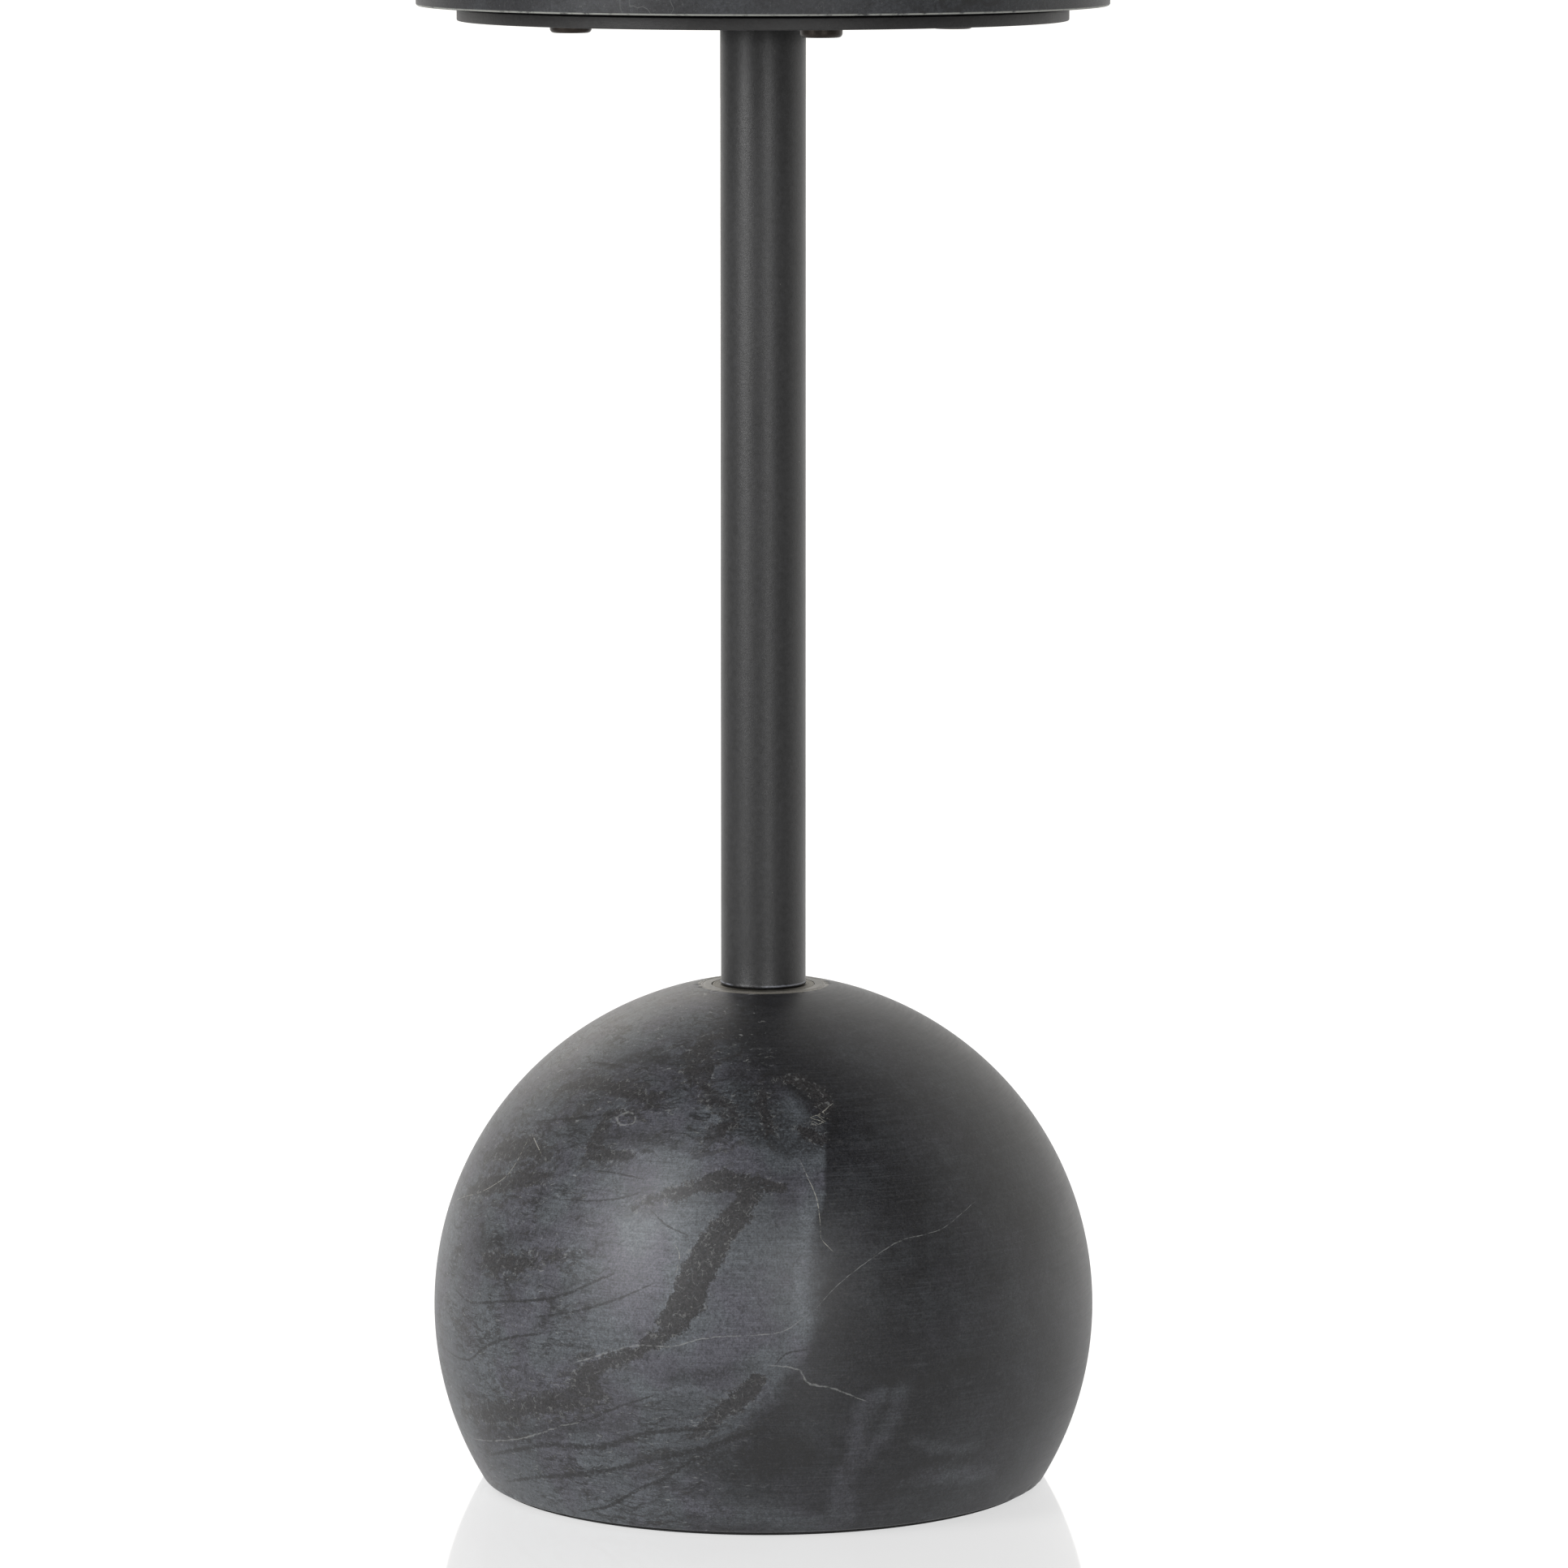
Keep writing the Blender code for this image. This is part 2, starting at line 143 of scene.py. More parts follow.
def rounded_disc_profile(radius, low, high, edge):
    """Profile of a disc with rounded rims; the faces get a few rings so that the shading stays even."""
    flat = radius - edge
    inner = [flat * (i + 1) / (DISC_RINGS + 1) for i in range(DISC_RINGS)]
    top = [(0.0, high)] + [(r, high) for r in inner]
    rim = arc((flat, high - edge), edge, 90, 0, 7) + arc((flat, low + edge), edge, 0, -90, 7)
    bottom = [(r, low) for r in reversed(inner)] + [(0.0, low)]
    return top + rim + bottom


def cut(obj, other):
    """Cuts another object out of this one, and removes that object."""
    boolean = obj.modifiers.new("cut", "BOOLEAN")
    boolean.operation = "DIFFERENCE"
    boolean.solver = "EXACT"
    boolean.object = other
    settle(obj)
    bpy.data.objects.remove(other)


def settle(obj):
    """Applies an object's modifiers."""
    bpy.context.view_layer.update()
    graph = bpy.context.evaluated_depsgraph_get()
    mesh = bpy.data.meshes.new_from_object(obj.evaluated_get(graph))
    obj.modifiers.clear()
    obj.data = mesh
    mesh.shade_smooth()
    mesh.set_sharp_from_angle(angle=math.radians(SMOOTH_ANGLE))


def cylinder(name, radius, low, high, place, segments=48, turn=0.0):
    shape = bmesh.new()
    bmesh.ops.create_cone(
        shape, cap_ends=True, segments=segments, radius1=radius, radius2=radius, depth=high - low
    )
    mesh = bpy.data.meshes.new(name)
    shape.to_mesh(mesh)
    shape.free()
    return linked(name, mesh, (place[0], place[1], (low + high) / 2), (0, 0, turn))


def finished(obj, node, material):
    """Gives a new piece its material and body, and puts it in place of its CAD node."""
    obj.data.materials.clear()
    obj.data.materials.append(material)
    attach(obj, "root")
    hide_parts(node)
    return obj


# Shader nodes


class Shade:
    """Writes shader nodes: each call adds one and returns its output."""

    def __init__(self, name):
        self.material = bpy.data.materials.new(name)
        self.material.use_nodes = True
        self.tree = self.material.node_tree
        self.shader = self.tree.nodes["Principled BSDF"]
        coordinates = self.tree.nodes.new("ShaderNodeTexCoord")
        self.place = self.scaled(coordinates.outputs["Object"], 1000.0)

    def fill(self, socket, value):
        if isinstance(value, bpy.types.NodeSocket):
            self.tree.links.new(value, socket)
        elif isinstance(value, tuple) and len(value) == 3 and socket.type == "RGBA":
            socket.default_value = (*value, 1.0)
        else:
            socket.default_value = value

    def set(self, name, value):
        self.fill(self.shader.inputs[name], value)

    def math(self, operation, a, b=0.0):
        node = self.tree.nodes.new("ShaderNodeMath")
        node.operation = operation
        self.fill(node.inputs[0], a)
        self.fill(node.inputs[1], b)
        return node.outputs[0]

    def scaled(self, vector, factor):
        """A vector or colour times a number, or times a vector given as a tuple."""
        by_vector = isinstance(factor, tuple)
        node = self.tree.nodes.new("ShaderNodeVectorMath")
        node.operation = "MULTIPLY" if by_vector else "SCALE"
        self.fill(node.inputs[0], vector)
        self.fill(node.inputs[1] if by_vector else node.inputs["Scale"], factor)
        return node.outputs[0]

    def shifted(self, a, b):
        node = self.tree.nodes.new("ShaderNodeVectorMath")
        node.operation = "ADD"
        self.fill(node.inputs[0], a)
        self.fill(node.inputs[1], b)
        return node.outputs[0]

    def noise_node(self, size, detail, roughness, vector):
        node = self.tree.nodes.new("ShaderNodeTexNoise")
        node.inputs["Scale"].default_value = 1.0 / size
        node.inputs["Detail"].default_value = detail
        node.inputs["Roughness"].default_value = roughness
        node.inputs["Distortion"].default_value = 0.0
        self.fill(node.inputs["Vector"], self.place if vector is None else vector)
        return node

    def noise(self, size, detail=2.0, roughness=0.5, vector=None):
        """Noise from 0 to 1 around 0.5, with features of about that many millimetres."""
        return self.noise_node(size, detail, roughness, vector).outputs[0]

    def signed(self, size, amount, detail=2.0, roughness=0.5, vector=None):
        """Noise around 0, up to about plus and minus amount."""
        centred = self.math("SUBTRACT", self.noise(size, detail, roughness, vector), 0.5)
        return self.math("MULTIPLY", centred, 2.0 * amount)

    def warped(self, size, amount, vector=None):
        """The position, moved about by a vector noise of that size and amount in millimetres."""
        node = self.noise_node(size, 2.0, 0.5, vector)
        centred = self.shifted(node.outputs["Color"], (-0.5, -0.5, -0.5))
        return self.shifted(self.place if vector is None else vector, self.scaled(centred, 2.0 * amount))

    def cells(self, size, vector=None, feature="F1"):
        node = self.tree.nodes.new("ShaderNodeTexVoronoi")
        node.feature = feature
        node.inputs["Scale"].default_value = 1.0 / size
        self.fill(node.inputs["Vector"], self.place if vector is None else vector)
        return node

    def ease(self, value, low, high):
        """0 at low and 1 at high, with a smooth step between them; low may be above high."""
        node = self.tree.nodes.new("ShaderNodeMapRange")
        node.interpolation_type = "SMOOTHSTEP"
        flip = low > high
        self.fill(node.inputs["Value"], value)
        node.inputs["From Min"].default_value = min(low, high)
        node.inputs["From Max"].default_value = max(low, high)
        node.inputs["To Min"].default_value = 1.0 if flip else 0.0
        node.inputs["To Max"].default_value = 0.0 if flip else 1.0
        return node.outputs[0]

    def mix(self, factor, a, b):
        node = self.tree.nodes.new("ShaderNodeMix")
        node.data_type = "RGBA"
        self.fill(node.inputs[0], factor)
        self.fill(node.inputs[6], a)
        self.fill(node.inputs[7], b)
        return node.outputs[2]

    def times(self, *values):
        result = values[0]
        for value in values[1:]:
            result = self.math("MULTIPLY", result, value)
        return result

    def plus(self, a, b):
        return self.math("ADD", a, b)

    def sway(self, base, value, amount):
        """A base, plus the amount times how far a value is above 0.5."""
        return self.plus(self.times(self.math("SUBTRACT", value, 0.5), amount), base)

    def patchy(self, low, high, *noise):
        """Noise, given as for noise(), eased from 0 at low to 1 at high."""
        return self.ease(self.noise(*noise), low, high)

    def away_from(self, value, middle=0.5):
        """How far a value is from a middle, on either side."""
        return self.math("ABSOLUTE", self.math("SUBTRACT", value, middle))

    def parts(self, vector):
        """The three numbers of a vector."""
        split = self.tree.nodes.new("ShaderNodeSeparateXYZ")
        self.tree.links.new(vector, split.inputs[0])
        return split.outputs

    def attribute(self, name):
        """The three numbers of a mesh attribute."""
        node = self.tree.nodes.new("ShaderNodeAttribute")
        node.attribute_name = name
        return self.parts(node.outputs["Vector"])

    def from_axis(self):
        """The distance from the table's axis, in millimetres."""
        node = self.tree.nodes.new("ShaderNodeVectorMath")
        node.operation = "LENGTH"
        self.tree.links.new(self.scaled(self.place, (1.0, 1.0, 0.0)), node.inputs[0])
        return node.outputs["Value"]

    def bump(self, height, depth, strength):
        """Bump whose height of 1 is that many millimetres."""
        node = self.tree.nodes.new("ShaderNodeBump")
        node.inputs["Strength"].default_value = strength
        node.inputs["Distance"].default_value = depth * MM
        self.fill(node.inputs["Height"], height)
        return node.outputs[0]


# The marble's figure on the ball: curves of (azimuth, height in mm, half width in mm).
# Many azimuths and heights are a scratch program's conversions of points picked by eye in the photo.

BANDS = [
    [
        (-25, 121, 1.0), (-20, 125.5, 2.4), (-15, 128, 3.0), (-10, 131, 3.6),
        (-6, 132, 3.4), (-2, 131, 3.0), (3.5, 130, 1.6),
    ],
    [
        (-3, 130, 3.2), (-4, 123, 4.4), (-7, 116, 5.2), (-10, 106, 6.0),
        (-12, 99, 6.4), (-13, 92, 6.4), (-15.5, 82, 5.6),
    ],
    [(-16, 79, 2.8), (-17.5, 77, 3.0), (-20.5, 73, 2.4)],
    [(-20.5, 71.5, 1.6), (-24, 69, 3.4), (-29, 65, 1.8)],
    [(-28.5, 64, 2.4), (-31, 59.5, 5.2), (-31.5, 55, 7.0), (-33, 52.5, 6.2)],
    [
        (-33, 51.5, 4.8), (-37.5, 49, 4.2), (-44, 45, 3.8),
        (-52, 39.5, 3.8), (-60, 36.5, 3.2), (-68, 34, 2.0),
    ],
    [(-16, 177, 1.2), (-21, 174.5, 3.6), (-20.5, 170, 5.2), (-18.5, 165, 4.6), (-16.5, 162.5, 2.0)],
    [(-16, 161.5, 1.6), (-13.5, 158.5, 3.4), (-11, 156, 3.6), (-8.5, 153, 3.2), (-8.5, 150, 1.6)],
    [(-9.5, 149.5, 1.8), (-11, 146, 3.8), (-12.5, 142.5, 1.6)],
    [
        (-60, 155, 1.6), (-51, 159, 3.2), (-41, 158.5, 3.2), (-32, 157, 2.4),
        (-29, 156, 2.0), (-31, 152.5, 1.8), (-39, 150, 1.8),
    ],
    [(-38.5, 149, 2.0), (-38, 144.5, 3.2), (-38.5, 140, 3.6), (-36.5, 137, 2.6), (-28, 138.5, 1.4)],
    [(-73, 127.5, 2.0), (-66, 132, 3.8), (-58, 134.5, 4.2), (-50, 133.5, 2.2)],
    [(-74, 114, 2.4), (-63, 120.5, 4.0), (-55, 124, 3.4), (-47, 128, 1.8)],
    [(-58, 95.5, 2.0), (-55, 94.5, 4.0), (-51, 95.5, 3.2), (-45, 98, 2.0), (-37, 102, 1.2)],
    [(-11, 42, 1.8), (-7, 50, 3.0), (-3, 57, 3.6), (-1, 62, 2.4)],
    [(4, 164, 0.8), (9, 163.5, 2.6), (14, 159.5, 3.6), (15, 155, 2.6)],
    [(8.5, 148.5, 1.6), (11, 146.5, 3.4), (13, 145, 1.6)],
    [(-0.5, 160, 1.6), (0, 154, 2.6), (2, 148, 1.8)],
]
SMUDGES = [
    [(-8, 166, 4.0), (-4, 160, 5.5), (-3, 152, 5.0), (-1, 146, 3.5)],
    [(2, 165, 4.0), (8, 164, 6.0), (13, 160, 7.0), (14, 153.5, 6.0), (12, 147, 7.0), (9, 143, 4.5)],
    [(0, 160, 6.0), (1.0, 153, 7.0), (3.5, 146, 7.0), (6, 142, 4.0)],
    [(-64, 99, 2.0), (-57, 101, 3.0), (-49, 107, 2.6), (-42, 110, 1.2)],
    [(-35, 93, 1.2), (-38, 86, 2.0), (-40, 80, 2.6), (-42, 75, 1.2)],
    [(-44.5, 58, 1.6), (-44, 55, 1.6)],
    [(-16, 62, 2.0), (-9, 64, 3.0), (-1, 68, 1.6)],
    [(-62, 26, 3.0), (-48, 33, 4.0), (-36, 38, 3.0), (-24, 44, 2.0)],
    [(-16, 30, 5.0), (-4, 30, 8.0), (6, 34, 7.0)],
    [(-46, 167, 3.0), (-36, 169, 4.0), (-26, 168, 3.0)],
    [(-36, 143, 2.5), (-28, 144, 3.0), (-18, 143, 2.0)],
    [(18, 63, 2.0), (22, 60.5, 3.4), (25, 62, 2.4)],
    [(27, 58, 3.0), (33, 61, 4.0), (40, 64, 2.6)],
    [(9, 33, 2.4), (14, 30.5, 2.6), (15.8, 20, 1.2)],
    [(22, 16, 5.0), (30, 24, 5.0), (40, 27, 4.0)],
]
WISPS = [
    [(20.5, 55, 3.0), (17.5, 51.5, 3.0), (16.5, 44, 3.2), (16, 34, 3.2), (14.5, 22, 3.4), (15, 8, 5.0)],
    [(23, 54.5, 2.6), (23, 49, 2.6), (20.5, 37.5, 2.4), (17.5, 30, 2.0)],
    [(6.5, 64, 1.2), (5.8, 72, 2.2), (6.5, 80, 2.6), (6.5, 95, 2.2), (7.5, 110, 1.8), (8, 128, 1.6)],
    [(-14, 12, 4.0), (0, 8, 5.0), (14, 4, 4.0)],
    [(26, 19, 1.6), (33, 22, 3.4), (40, 20, 3.0), (47, 17, 1.4)],
    [(27, 36, 1.0), (34, 31, 2.0), (41, 29, 1.0)],
    [(-16.5, 158.5, 0.8), (-14, 157.5, 1.4), (-11.5, 153.5, 1.6), (-11, 150, 1.0)],
    [(-10, 184.5, 1.6), (-4, 180.5, 0.8), (1, 174, 0.5), (4, 166.5, 0.8), (5, 163, 1.4)],
    [(-35, 149.6, 0.5), (-32, 149.6, 0.5)],
]
DARK_VEINS = [
    [(-61, 20, 0.8), (-50, 26, 1.3), (-41, 31, 1.5), (-30, 33, 1.6), (-19, 41, 1.4), (-8, 44, 0.6)],
    [(-38, 5, 0.6), (-31, 9, 0.9), (-24, 17, 1.0), (-18, 23, 1.2), (-14, 29, 1.1), (-10, 33, 0.7)],
    [(-72, 55, 0.4), (-62, 56, 0.6), (-56, 63, 0.8), (-49, 69, 0.7), (-41, 73, 0.5)],
    [(-68, 80, 0.5), (-61, 78, 0.7), (-53, 81, 0.8), (-45, 84, 0.7), (-37, 88, 0.7), (-27, 98, 0.6)],
    [(-41, 121, 0.3), (-34, 122, 0.5), (-28, 124, 0.6), (-25, 126, 0.6)],
    [(-59, 144, 0.4), (-47.5, 147.5, 0.8), (-38, 150.5, 0.8)],
    [(-60, 164, 0.4), (-51, 165, 0.8), (-43, 165, 0.6)],
]
DARK_VEINS_CROSSING = [
    [
        (-59, 10, 0.6), (-47, 16, 1.1), (-37, 20, 1.3), (-29, 24, 1.4),
        (-20, 30, 1.3), (-13, 34, 1.5), (0, 44, 1.6),
    ],
    [(-42, 79, 0.4), (-34, 83, 0.6), (-26, 89, 0.6), (-20, 95, 0.4)],
    [(-80, 107, 0.4), (-75, 101, 0.6), (-71, 102, 0.3)],
    [(-21, 120, 0.3), (-18, 116, 0.5), (-14, 113, 0.3)],
    [(-36, 132, 0.3), (-31, 132, 0.5), (-25, 131, 0.4)],
    [(-38, 39, 0.4), (-32, 43, 0.7), (-26, 49, 0.6), (-19, 55, 0.4)],
    [(2, 68, 0.3), (4, 72, 0.5), (7, 73, 0.3)],
]
LIGHT_VEINS = [
    [
        (-34, 64, 0.25), (-29, 68, 0.45), (-22, 73, 0.4), (-16, 73.5, 0.4),
        (-9, 77.5, 0.35), (2.5, 79.5, 0.3), (7, 85, 0.2),
    ],
    [(9, 88, 0.12), (13, 96, 0.2), (20, 105, 0.22), (26, 110, 0.25), (34, 112, 0.2), (43, 119, 0.15)],
    [(-68, 23, 0.3), (-52, 29, 0.45), (-44, 34, 0.45), (-38, 39, 0.4), (-33, 42, 0.25)],
    [(1.5, 67.5, 0.3), (5.7, 66, 0.5), (7.5, 60.5, 0.5), (11, 59, 0.45), (14, 56.5, 0.4), (17, 53.5, 0.3)],
    [
        (-36, 149.5, 0.5), (-34, 151.8, 0.6), (-31.4, 151, 0.5),
        (-31, 148.6, 0.5), (-34, 147.4, 0.6), (-36, 149.3, 0.5),
    ],
]
SCRATCHES = [
    [(7.9, 137, 0.10), (9.2, 131, 0.18), (10.2, 126, 0.26), (10.5, 119, 0.14), (10.4, 113, 0.08)],
    [(11.1, 110.4, 0.22), (11.8, 108.9, 0.18)],
    [(-58, 139, 0.25), (-53, 135, 0.22)],
    [(-59, 136, 0.16), (-59, 129, 0.2), (-61, 123, 0.2), (-68, 116, 0.18), (-80, 109, 0.14)],
    [(-15.7, 108.5, 0.12), (-15, 106, 0.22), (-15.2, 101.6, 0.14)],
    [(10.8, 150.6, 0.18), (13.4, 151.6, 0.26), (14.6, 152.8, 0.14)],
    [(11.4, 152.2, 0.14), (14, 153.4, 0.24), (16.6, 155.6, 0.16)],
    [(12.6, 149.8, 0.12), (14.4, 150.6, 0.18)],
]

# The same figure round the back, turned from the front: (turn in degrees, lift in mm, mirrored)
BACK_BANDS = (165, 6, True)
BACK_VEINS = (-140, -4, False)


def turned_copy(curve, turn, lift, mirrored):
    """A curve moved round the ball, and up or down."""
    side = -1 if mirrored else 1
    return [(side * azimuth + turn, height + lift, width) for azimuth, height, width in curve]


def with_back(curves, *moves):
    return curves + [turned_copy(curve, *move) for move in moves for curve in curves]


def ball_point(azimuth, height):
    """The point on the ball at an azimuth in degrees and a height in mm above the floor."""
    up = min(max(height * MM - BALL_CENTRE_Z, -BALL_RADIUS), BALL_RADIUS)
    reach = math.sqrt(BALL_RADIUS**2 - up**2)
    angle = math.radians(azimuth)
    return np.array([reach * math.sin(angle), -reach * math.cos(angle), BALL_CENTRE_Z + up])


def smooth_curve(points, between=8):
    """A Catmull-Rom curve through rows of numbers."""
    points = np.array(points, float)
    padded = np.vstack([2 * points[0] - points[1], points, 2 * points[-1] - points[-2]])
    rows = []
    for i in range(1, len(padded) - 2):
        before, a, b, after = padded[i - 1 : i + 3]
        for t in np.arange(between) / between:
            bend = (2 * before - 5 * a + 4 * b - after) * t**2
            twist = (3 * a - before - 3 * b + after) * t**3
            rows.append(0.5 * (2 * a + (b - before) * t + bend + twist))
    rows.append(padded[-2])
    return np.array(rows)


def nearest_on(line, positions):
    """For each position: a line's nearest segment, the share along it, and the distance."""
    starts, steps = line[:-1], np.diff(line, axis=0)
    lengths = np.einsum("sk,sk->s", steps, steps)
    along = np.einsum("vsk,sk->vs", positions[:, None] - starts[None], steps) / lengths
    foot = starts[None] + np.clip(along, 0, 1)[..., None] * steps[None]
    gap = np.linalg.norm(positions[:, None] - foot, axis=2)
    nearest = gap.argmin(1)
    index = np.arange(len(positions))
    return nearest, along[index, nearest], gap[index, nearest]


def width_at(widths, nearest, along):
    """The half width at a share along the nearest segment."""
    share = np.clip(along, 0, 1)
    return widths[nearest] * (1 - share) + widths[nearest + 1] * share


def curve_near(curve, positions, reach):
    """A curve as a smooth line with half widths, and the positions within reach of it."""
    rows = smooth_curve([(*ball_point(azimuth, height) / MM, width) for azimuth, height, width in curve])
    line, widths = rows[:, :3], np.maximum(rows[:, 3], 0.1)
    centre = line.mean(0)
    span = np.linalg.norm(line - centre, axis=1).max() + reach
    near = np.nonzero(np.linalg.norm(positions - centre, axis=1) < span)[0]
    return line, widths, near


# The widest half width of a patch, and how far past its end a vein fades out, in mm
WIDEST = 7
VEIN_END = 2.0


def patch_field(positions, curves, reach=12.0):
    """For each position: millimetres outside the nearest curve's width, and negative inside it."""
    field = np.full(len(positions), reach)
    for curve in curves:
        line, widths, near = curve_near(curve, positions, reach + WIDEST)
        if len(near) == 0:
            continue
        nearest, along, gap = nearest_on(line, positions[near])
        field[near] = np.minimum(field[near], gap - width_at(widths, nearest, along))
    return field


def vein_field(positions, curves, reach=8.0):
    """For each position, to the nearest curve: side distance over half width, strength, distance in mm."""
    best = np.full(len(positions), reach)
    field = np.zeros((len(positions), 3))
    field[:, 0] = reach
    field[:, 2] = reach
    for curve in curves:
        line, widths, near = curve_near(curve, positions, reach)
        if len(near) == 0:
            continue
        here = positions[near]
        nearest, along, gap = nearest_on(line, here)
        steps = np.diff(line, axis=0)
        width = width_at(widths, nearest, along)
        side = np.cross(steps[nearest], here - np.array([0, 0, BALL_CENTRE_Z / MM]))
        side /= np.linalg.norm(side, axis=1)[:, None]
        signed = np.einsum("vk,vk->v", here - line[nearest], side)
        beyond = np.maximum(-along, along - 1) * np.linalg.norm(steps[nearest], axis=1)
        at_end = (nearest == 0) & (along < 0) | (nearest == len(steps) - 1) & (along > 1)
        fade = np.where(at_end, np.clip(1 - beyond / VEIN_END, 0, 1), 1.0)
        closer = gap < best[near]
        chosen = near[closer]
        best[chosen] = gap[closer]
        field[chosen] = np.stack([signed / width, fade, gap], 1)[closer]
    return field


def smoothstep(value, low, high):
    share = np.clip((value - low) / (high - low), 0, 1)
    return share * share * (3 - 2 * share)


# Where the pale zone of the ball ends on the right: height in mm, azimuth, and how soft the edge is in mm
ZONE_HEIGHTS = [0, 30, 50, 62, 68, 74, 83, 97, 112, 119, 126, 143, 150, 160, 170, 187]
ZONE_EDGES = [-14, -6, -1, 3, 5.5, 7, 8.6, 8.9, 9.3, 9.8, 11.8, 13.2, 14, 9, -5, -16]
ZONE_SOFTNESS = [26, 18, 10, 5, 4, 5, 6, 6, 5, 2.5, 1.2, 1.0, 4, 9, 14, 16]

# Soft lighter (+) and darker (-) places: azimuth, height, spread along and up in mm, amount. The lighter
# place left of centre at height 110 is partly the stone's own tone and partly a painted highlight of the
# key light. The darker places near the pole, at heights 150 to 180, are a painted reflection of the top's
# dark underside.
TONES_AND_PAINTED_LIGHT = [
    (-22, 110, 22, 24, 0.32),
    (-14, 84, 22, 16, 0.10),
    (5, 108, 16, 40, -0.16),
    (-6, 128, 22, 10, -0.12),
    (-50, 62, 26, 14, 0.06),
    (-20, 56, 14, 7, 0.14),
    (-60, 105, 20, 22, -0.10),
    (-60, 150, 30, 16, -0.12),
    (-4, 36, 24, 16, -0.20),
    (-18, 50, 20, 12, -0.14),
    (-2, 160, 30, 12, -0.20),
    (-6, 180, 24, 11, -0.34),
    (-32, 150, 24, 12, -0.10),
    (-45, 134, 26, 10, -0.10),
    (-40, 166, 26, 12, -0.12),
    (34, 20, 16, 7, 0.10),
    (-30, 14, 30, 7, 0.08),
    (150, 105, 34, 30, 0.25),
    (-150, 60, 30, 20, 0.15),
    (100, 130, 26, 20, 0.15),
]


def ball_zones(positions):
    """For each vertex: pale zone (-1 to 1 at its edge), soft tone with a painted highlight and a painted
    reflection in it, and how dense the fine veins are.
    """
    reach = np.linalg.norm(positions[:, :2], axis=1)
    azimuth = np.degrees(np.arctan2(positions[:, 0], -positions[:, 1]))
    height = positions[:, 2]
    edge = np.interp(height, ZONE_HEIGHTS, ZONE_EDGES)
    soft = np.interp(height, ZONE_HEIGHTS, ZONE_SOFTNESS)
    right = np.radians(edge - azimuth) * reach / soft
    left = np.radians(azimuth + 128) * reach / 24
    back = np.minimum(np.radians(azimuth - 101), np.radians(163 - azimuth)) * reach / 16
    pale = np.maximum(np.minimum(right, left), back)
    # soft tones, among them a painted highlight left of centre and a painted reflection of the top's
    # underside near the pole
    tone_and_painted_light = np.full(len(positions), 0.5)
    for place, up, along, rise, amount in TONES_AND_PAINTED_LIGHT:
        turn = (azimuth - place + 180) % 360 - 180
        away = np.radians(turn) * reach / along
        tone_and_painted_light += amount * np.exp(-(away**2) - ((height - up) / rise) ** 2)
    dense = smoothstep(-azimuth, 16, 42) + smoothstep(height, 132, 150) * smoothstep(-azimuth, -8, 6)
    dense += smoothstep(-height, -66, -44) * smoothstep(-azimuth, -4, 12) + smoothstep(azimuth, 95, 130)
    return np.stack([np.clip(pale, -4, 4), tone_and_painted_light, np.clip(dense, 0, 1)], 1)


def add_attribute(obj, name, values):
    attribute = obj.data.attributes.new(name, "FLOAT_VECTOR", "POINT")
    attribute.data.foreach_set("vector", np.asarray(values, np.float32).ravel())


# Marble ball


BALL_STEPS = 400
BALL_ROWS = 210
FOOT_EDGE = 0.0015
RECESS_RADIUS = 0.026
RECESS_DEPTH = 0.028
ROD_BORE_RADIUS = 0.007
POLE_RINGS = (0.0205, 0.0215, 0.0222, 0.0226, 0.0230, 0.0234, 0.0238)
POLE_GROOVES = (0.0226, 0.0234)
GROOVE_DEPTH = 0.00018
COUNTERBORE_RADIUS = FLANGE_RADIUS + CLEARANCE


def ball_profile():
    """From the pole flat's rim down the ball, round the foot's edge, and up through the recess and bore."""
    low, high = BASE_LOW.z, BASE_HIGH.z
    reach = BALL_RADIUS - FOOT_EDGE
    edge_z = low + FOOT_EDGE
    edge_r = math.sqrt(reach**2 - (edge_z - BALL_CENTRE_Z) ** 2)
    start = math.asin((POLE_RADIUS + 0.0004) / BALL_RADIUS)
    end = math.acos((edge_z - BALL_CENTRE_Z) / reach)
    points = [(POLE_RADIUS - 0.0003, high), (POLE_RADIUS, high - 0.00005)]
    for polar in np.linspace(start, end, BALL_ROWS):
        points.append((BALL_RADIUS * math.sin(polar), BALL_CENTRE_Z + BALL_RADIUS * math.cos(polar)))
    points += arc((edge_r, edge_z), FOOT_EDGE, 90 - math.degrees(end), -90, 6)[1:]
    points += [(r, low) for r in np.linspace(edge_r, RECESS_RADIUS + 0.0008, 5)[1:]]
    points += [(RECESS_RADIUS, low + 0.0008), (RECESS_RADIUS, low + RECESS_DEPTH)]
    points += [(ROD_BORE_RADIUS, low + RECESS_DEPTH), (ROD_BORE_RADIUS, FLANGE_LOW.z - CLEARANCE)]
    seat = FLANGE_LOW.z - CLEARANCE
    points += [(COUNTERBORE_RADIUS - 0.0002, seat), (COUNTERBORE_RADIUS, seat + 0.0002)]
    points += [(COUNTERBORE_RADIUS, high - 0.0003), (COUNTERBORE_RADIUS, high)]
    rings = [COUNTERBORE_RADIUS + 0.0005, *POLE_RINGS]
    points += [(r, high - (GROOVE_DEPTH if r in POLE_GROOVES else 0.0)) for r in rings]
    return points


def chip_edge(vertices, edge_radius, height, count, size, depth):
    """Presses small irregular chips into a circular edge."""
    for _ in range(count):
        angle = rng.uniform(0, math.tau)
        reach = size * rng.uniform(0.5, 1.4)
        centre = np.array([edge_radius * math.cos(angle), edge_radius * math.sin(angle), height])
        gap = np.linalg.norm(vertices - centre, axis=1)
        inward = vertices - np.array([0, 0, BALL_CENTRE_Z])
        inward /= np.linalg.norm(inward, axis=1)[:, None]
        press = np.clip(1 - (gap / reach) ** 2, 0, 1) * depth * rng.uniform(0.5, 1.2)
        vertices -= inward * press[:, None]


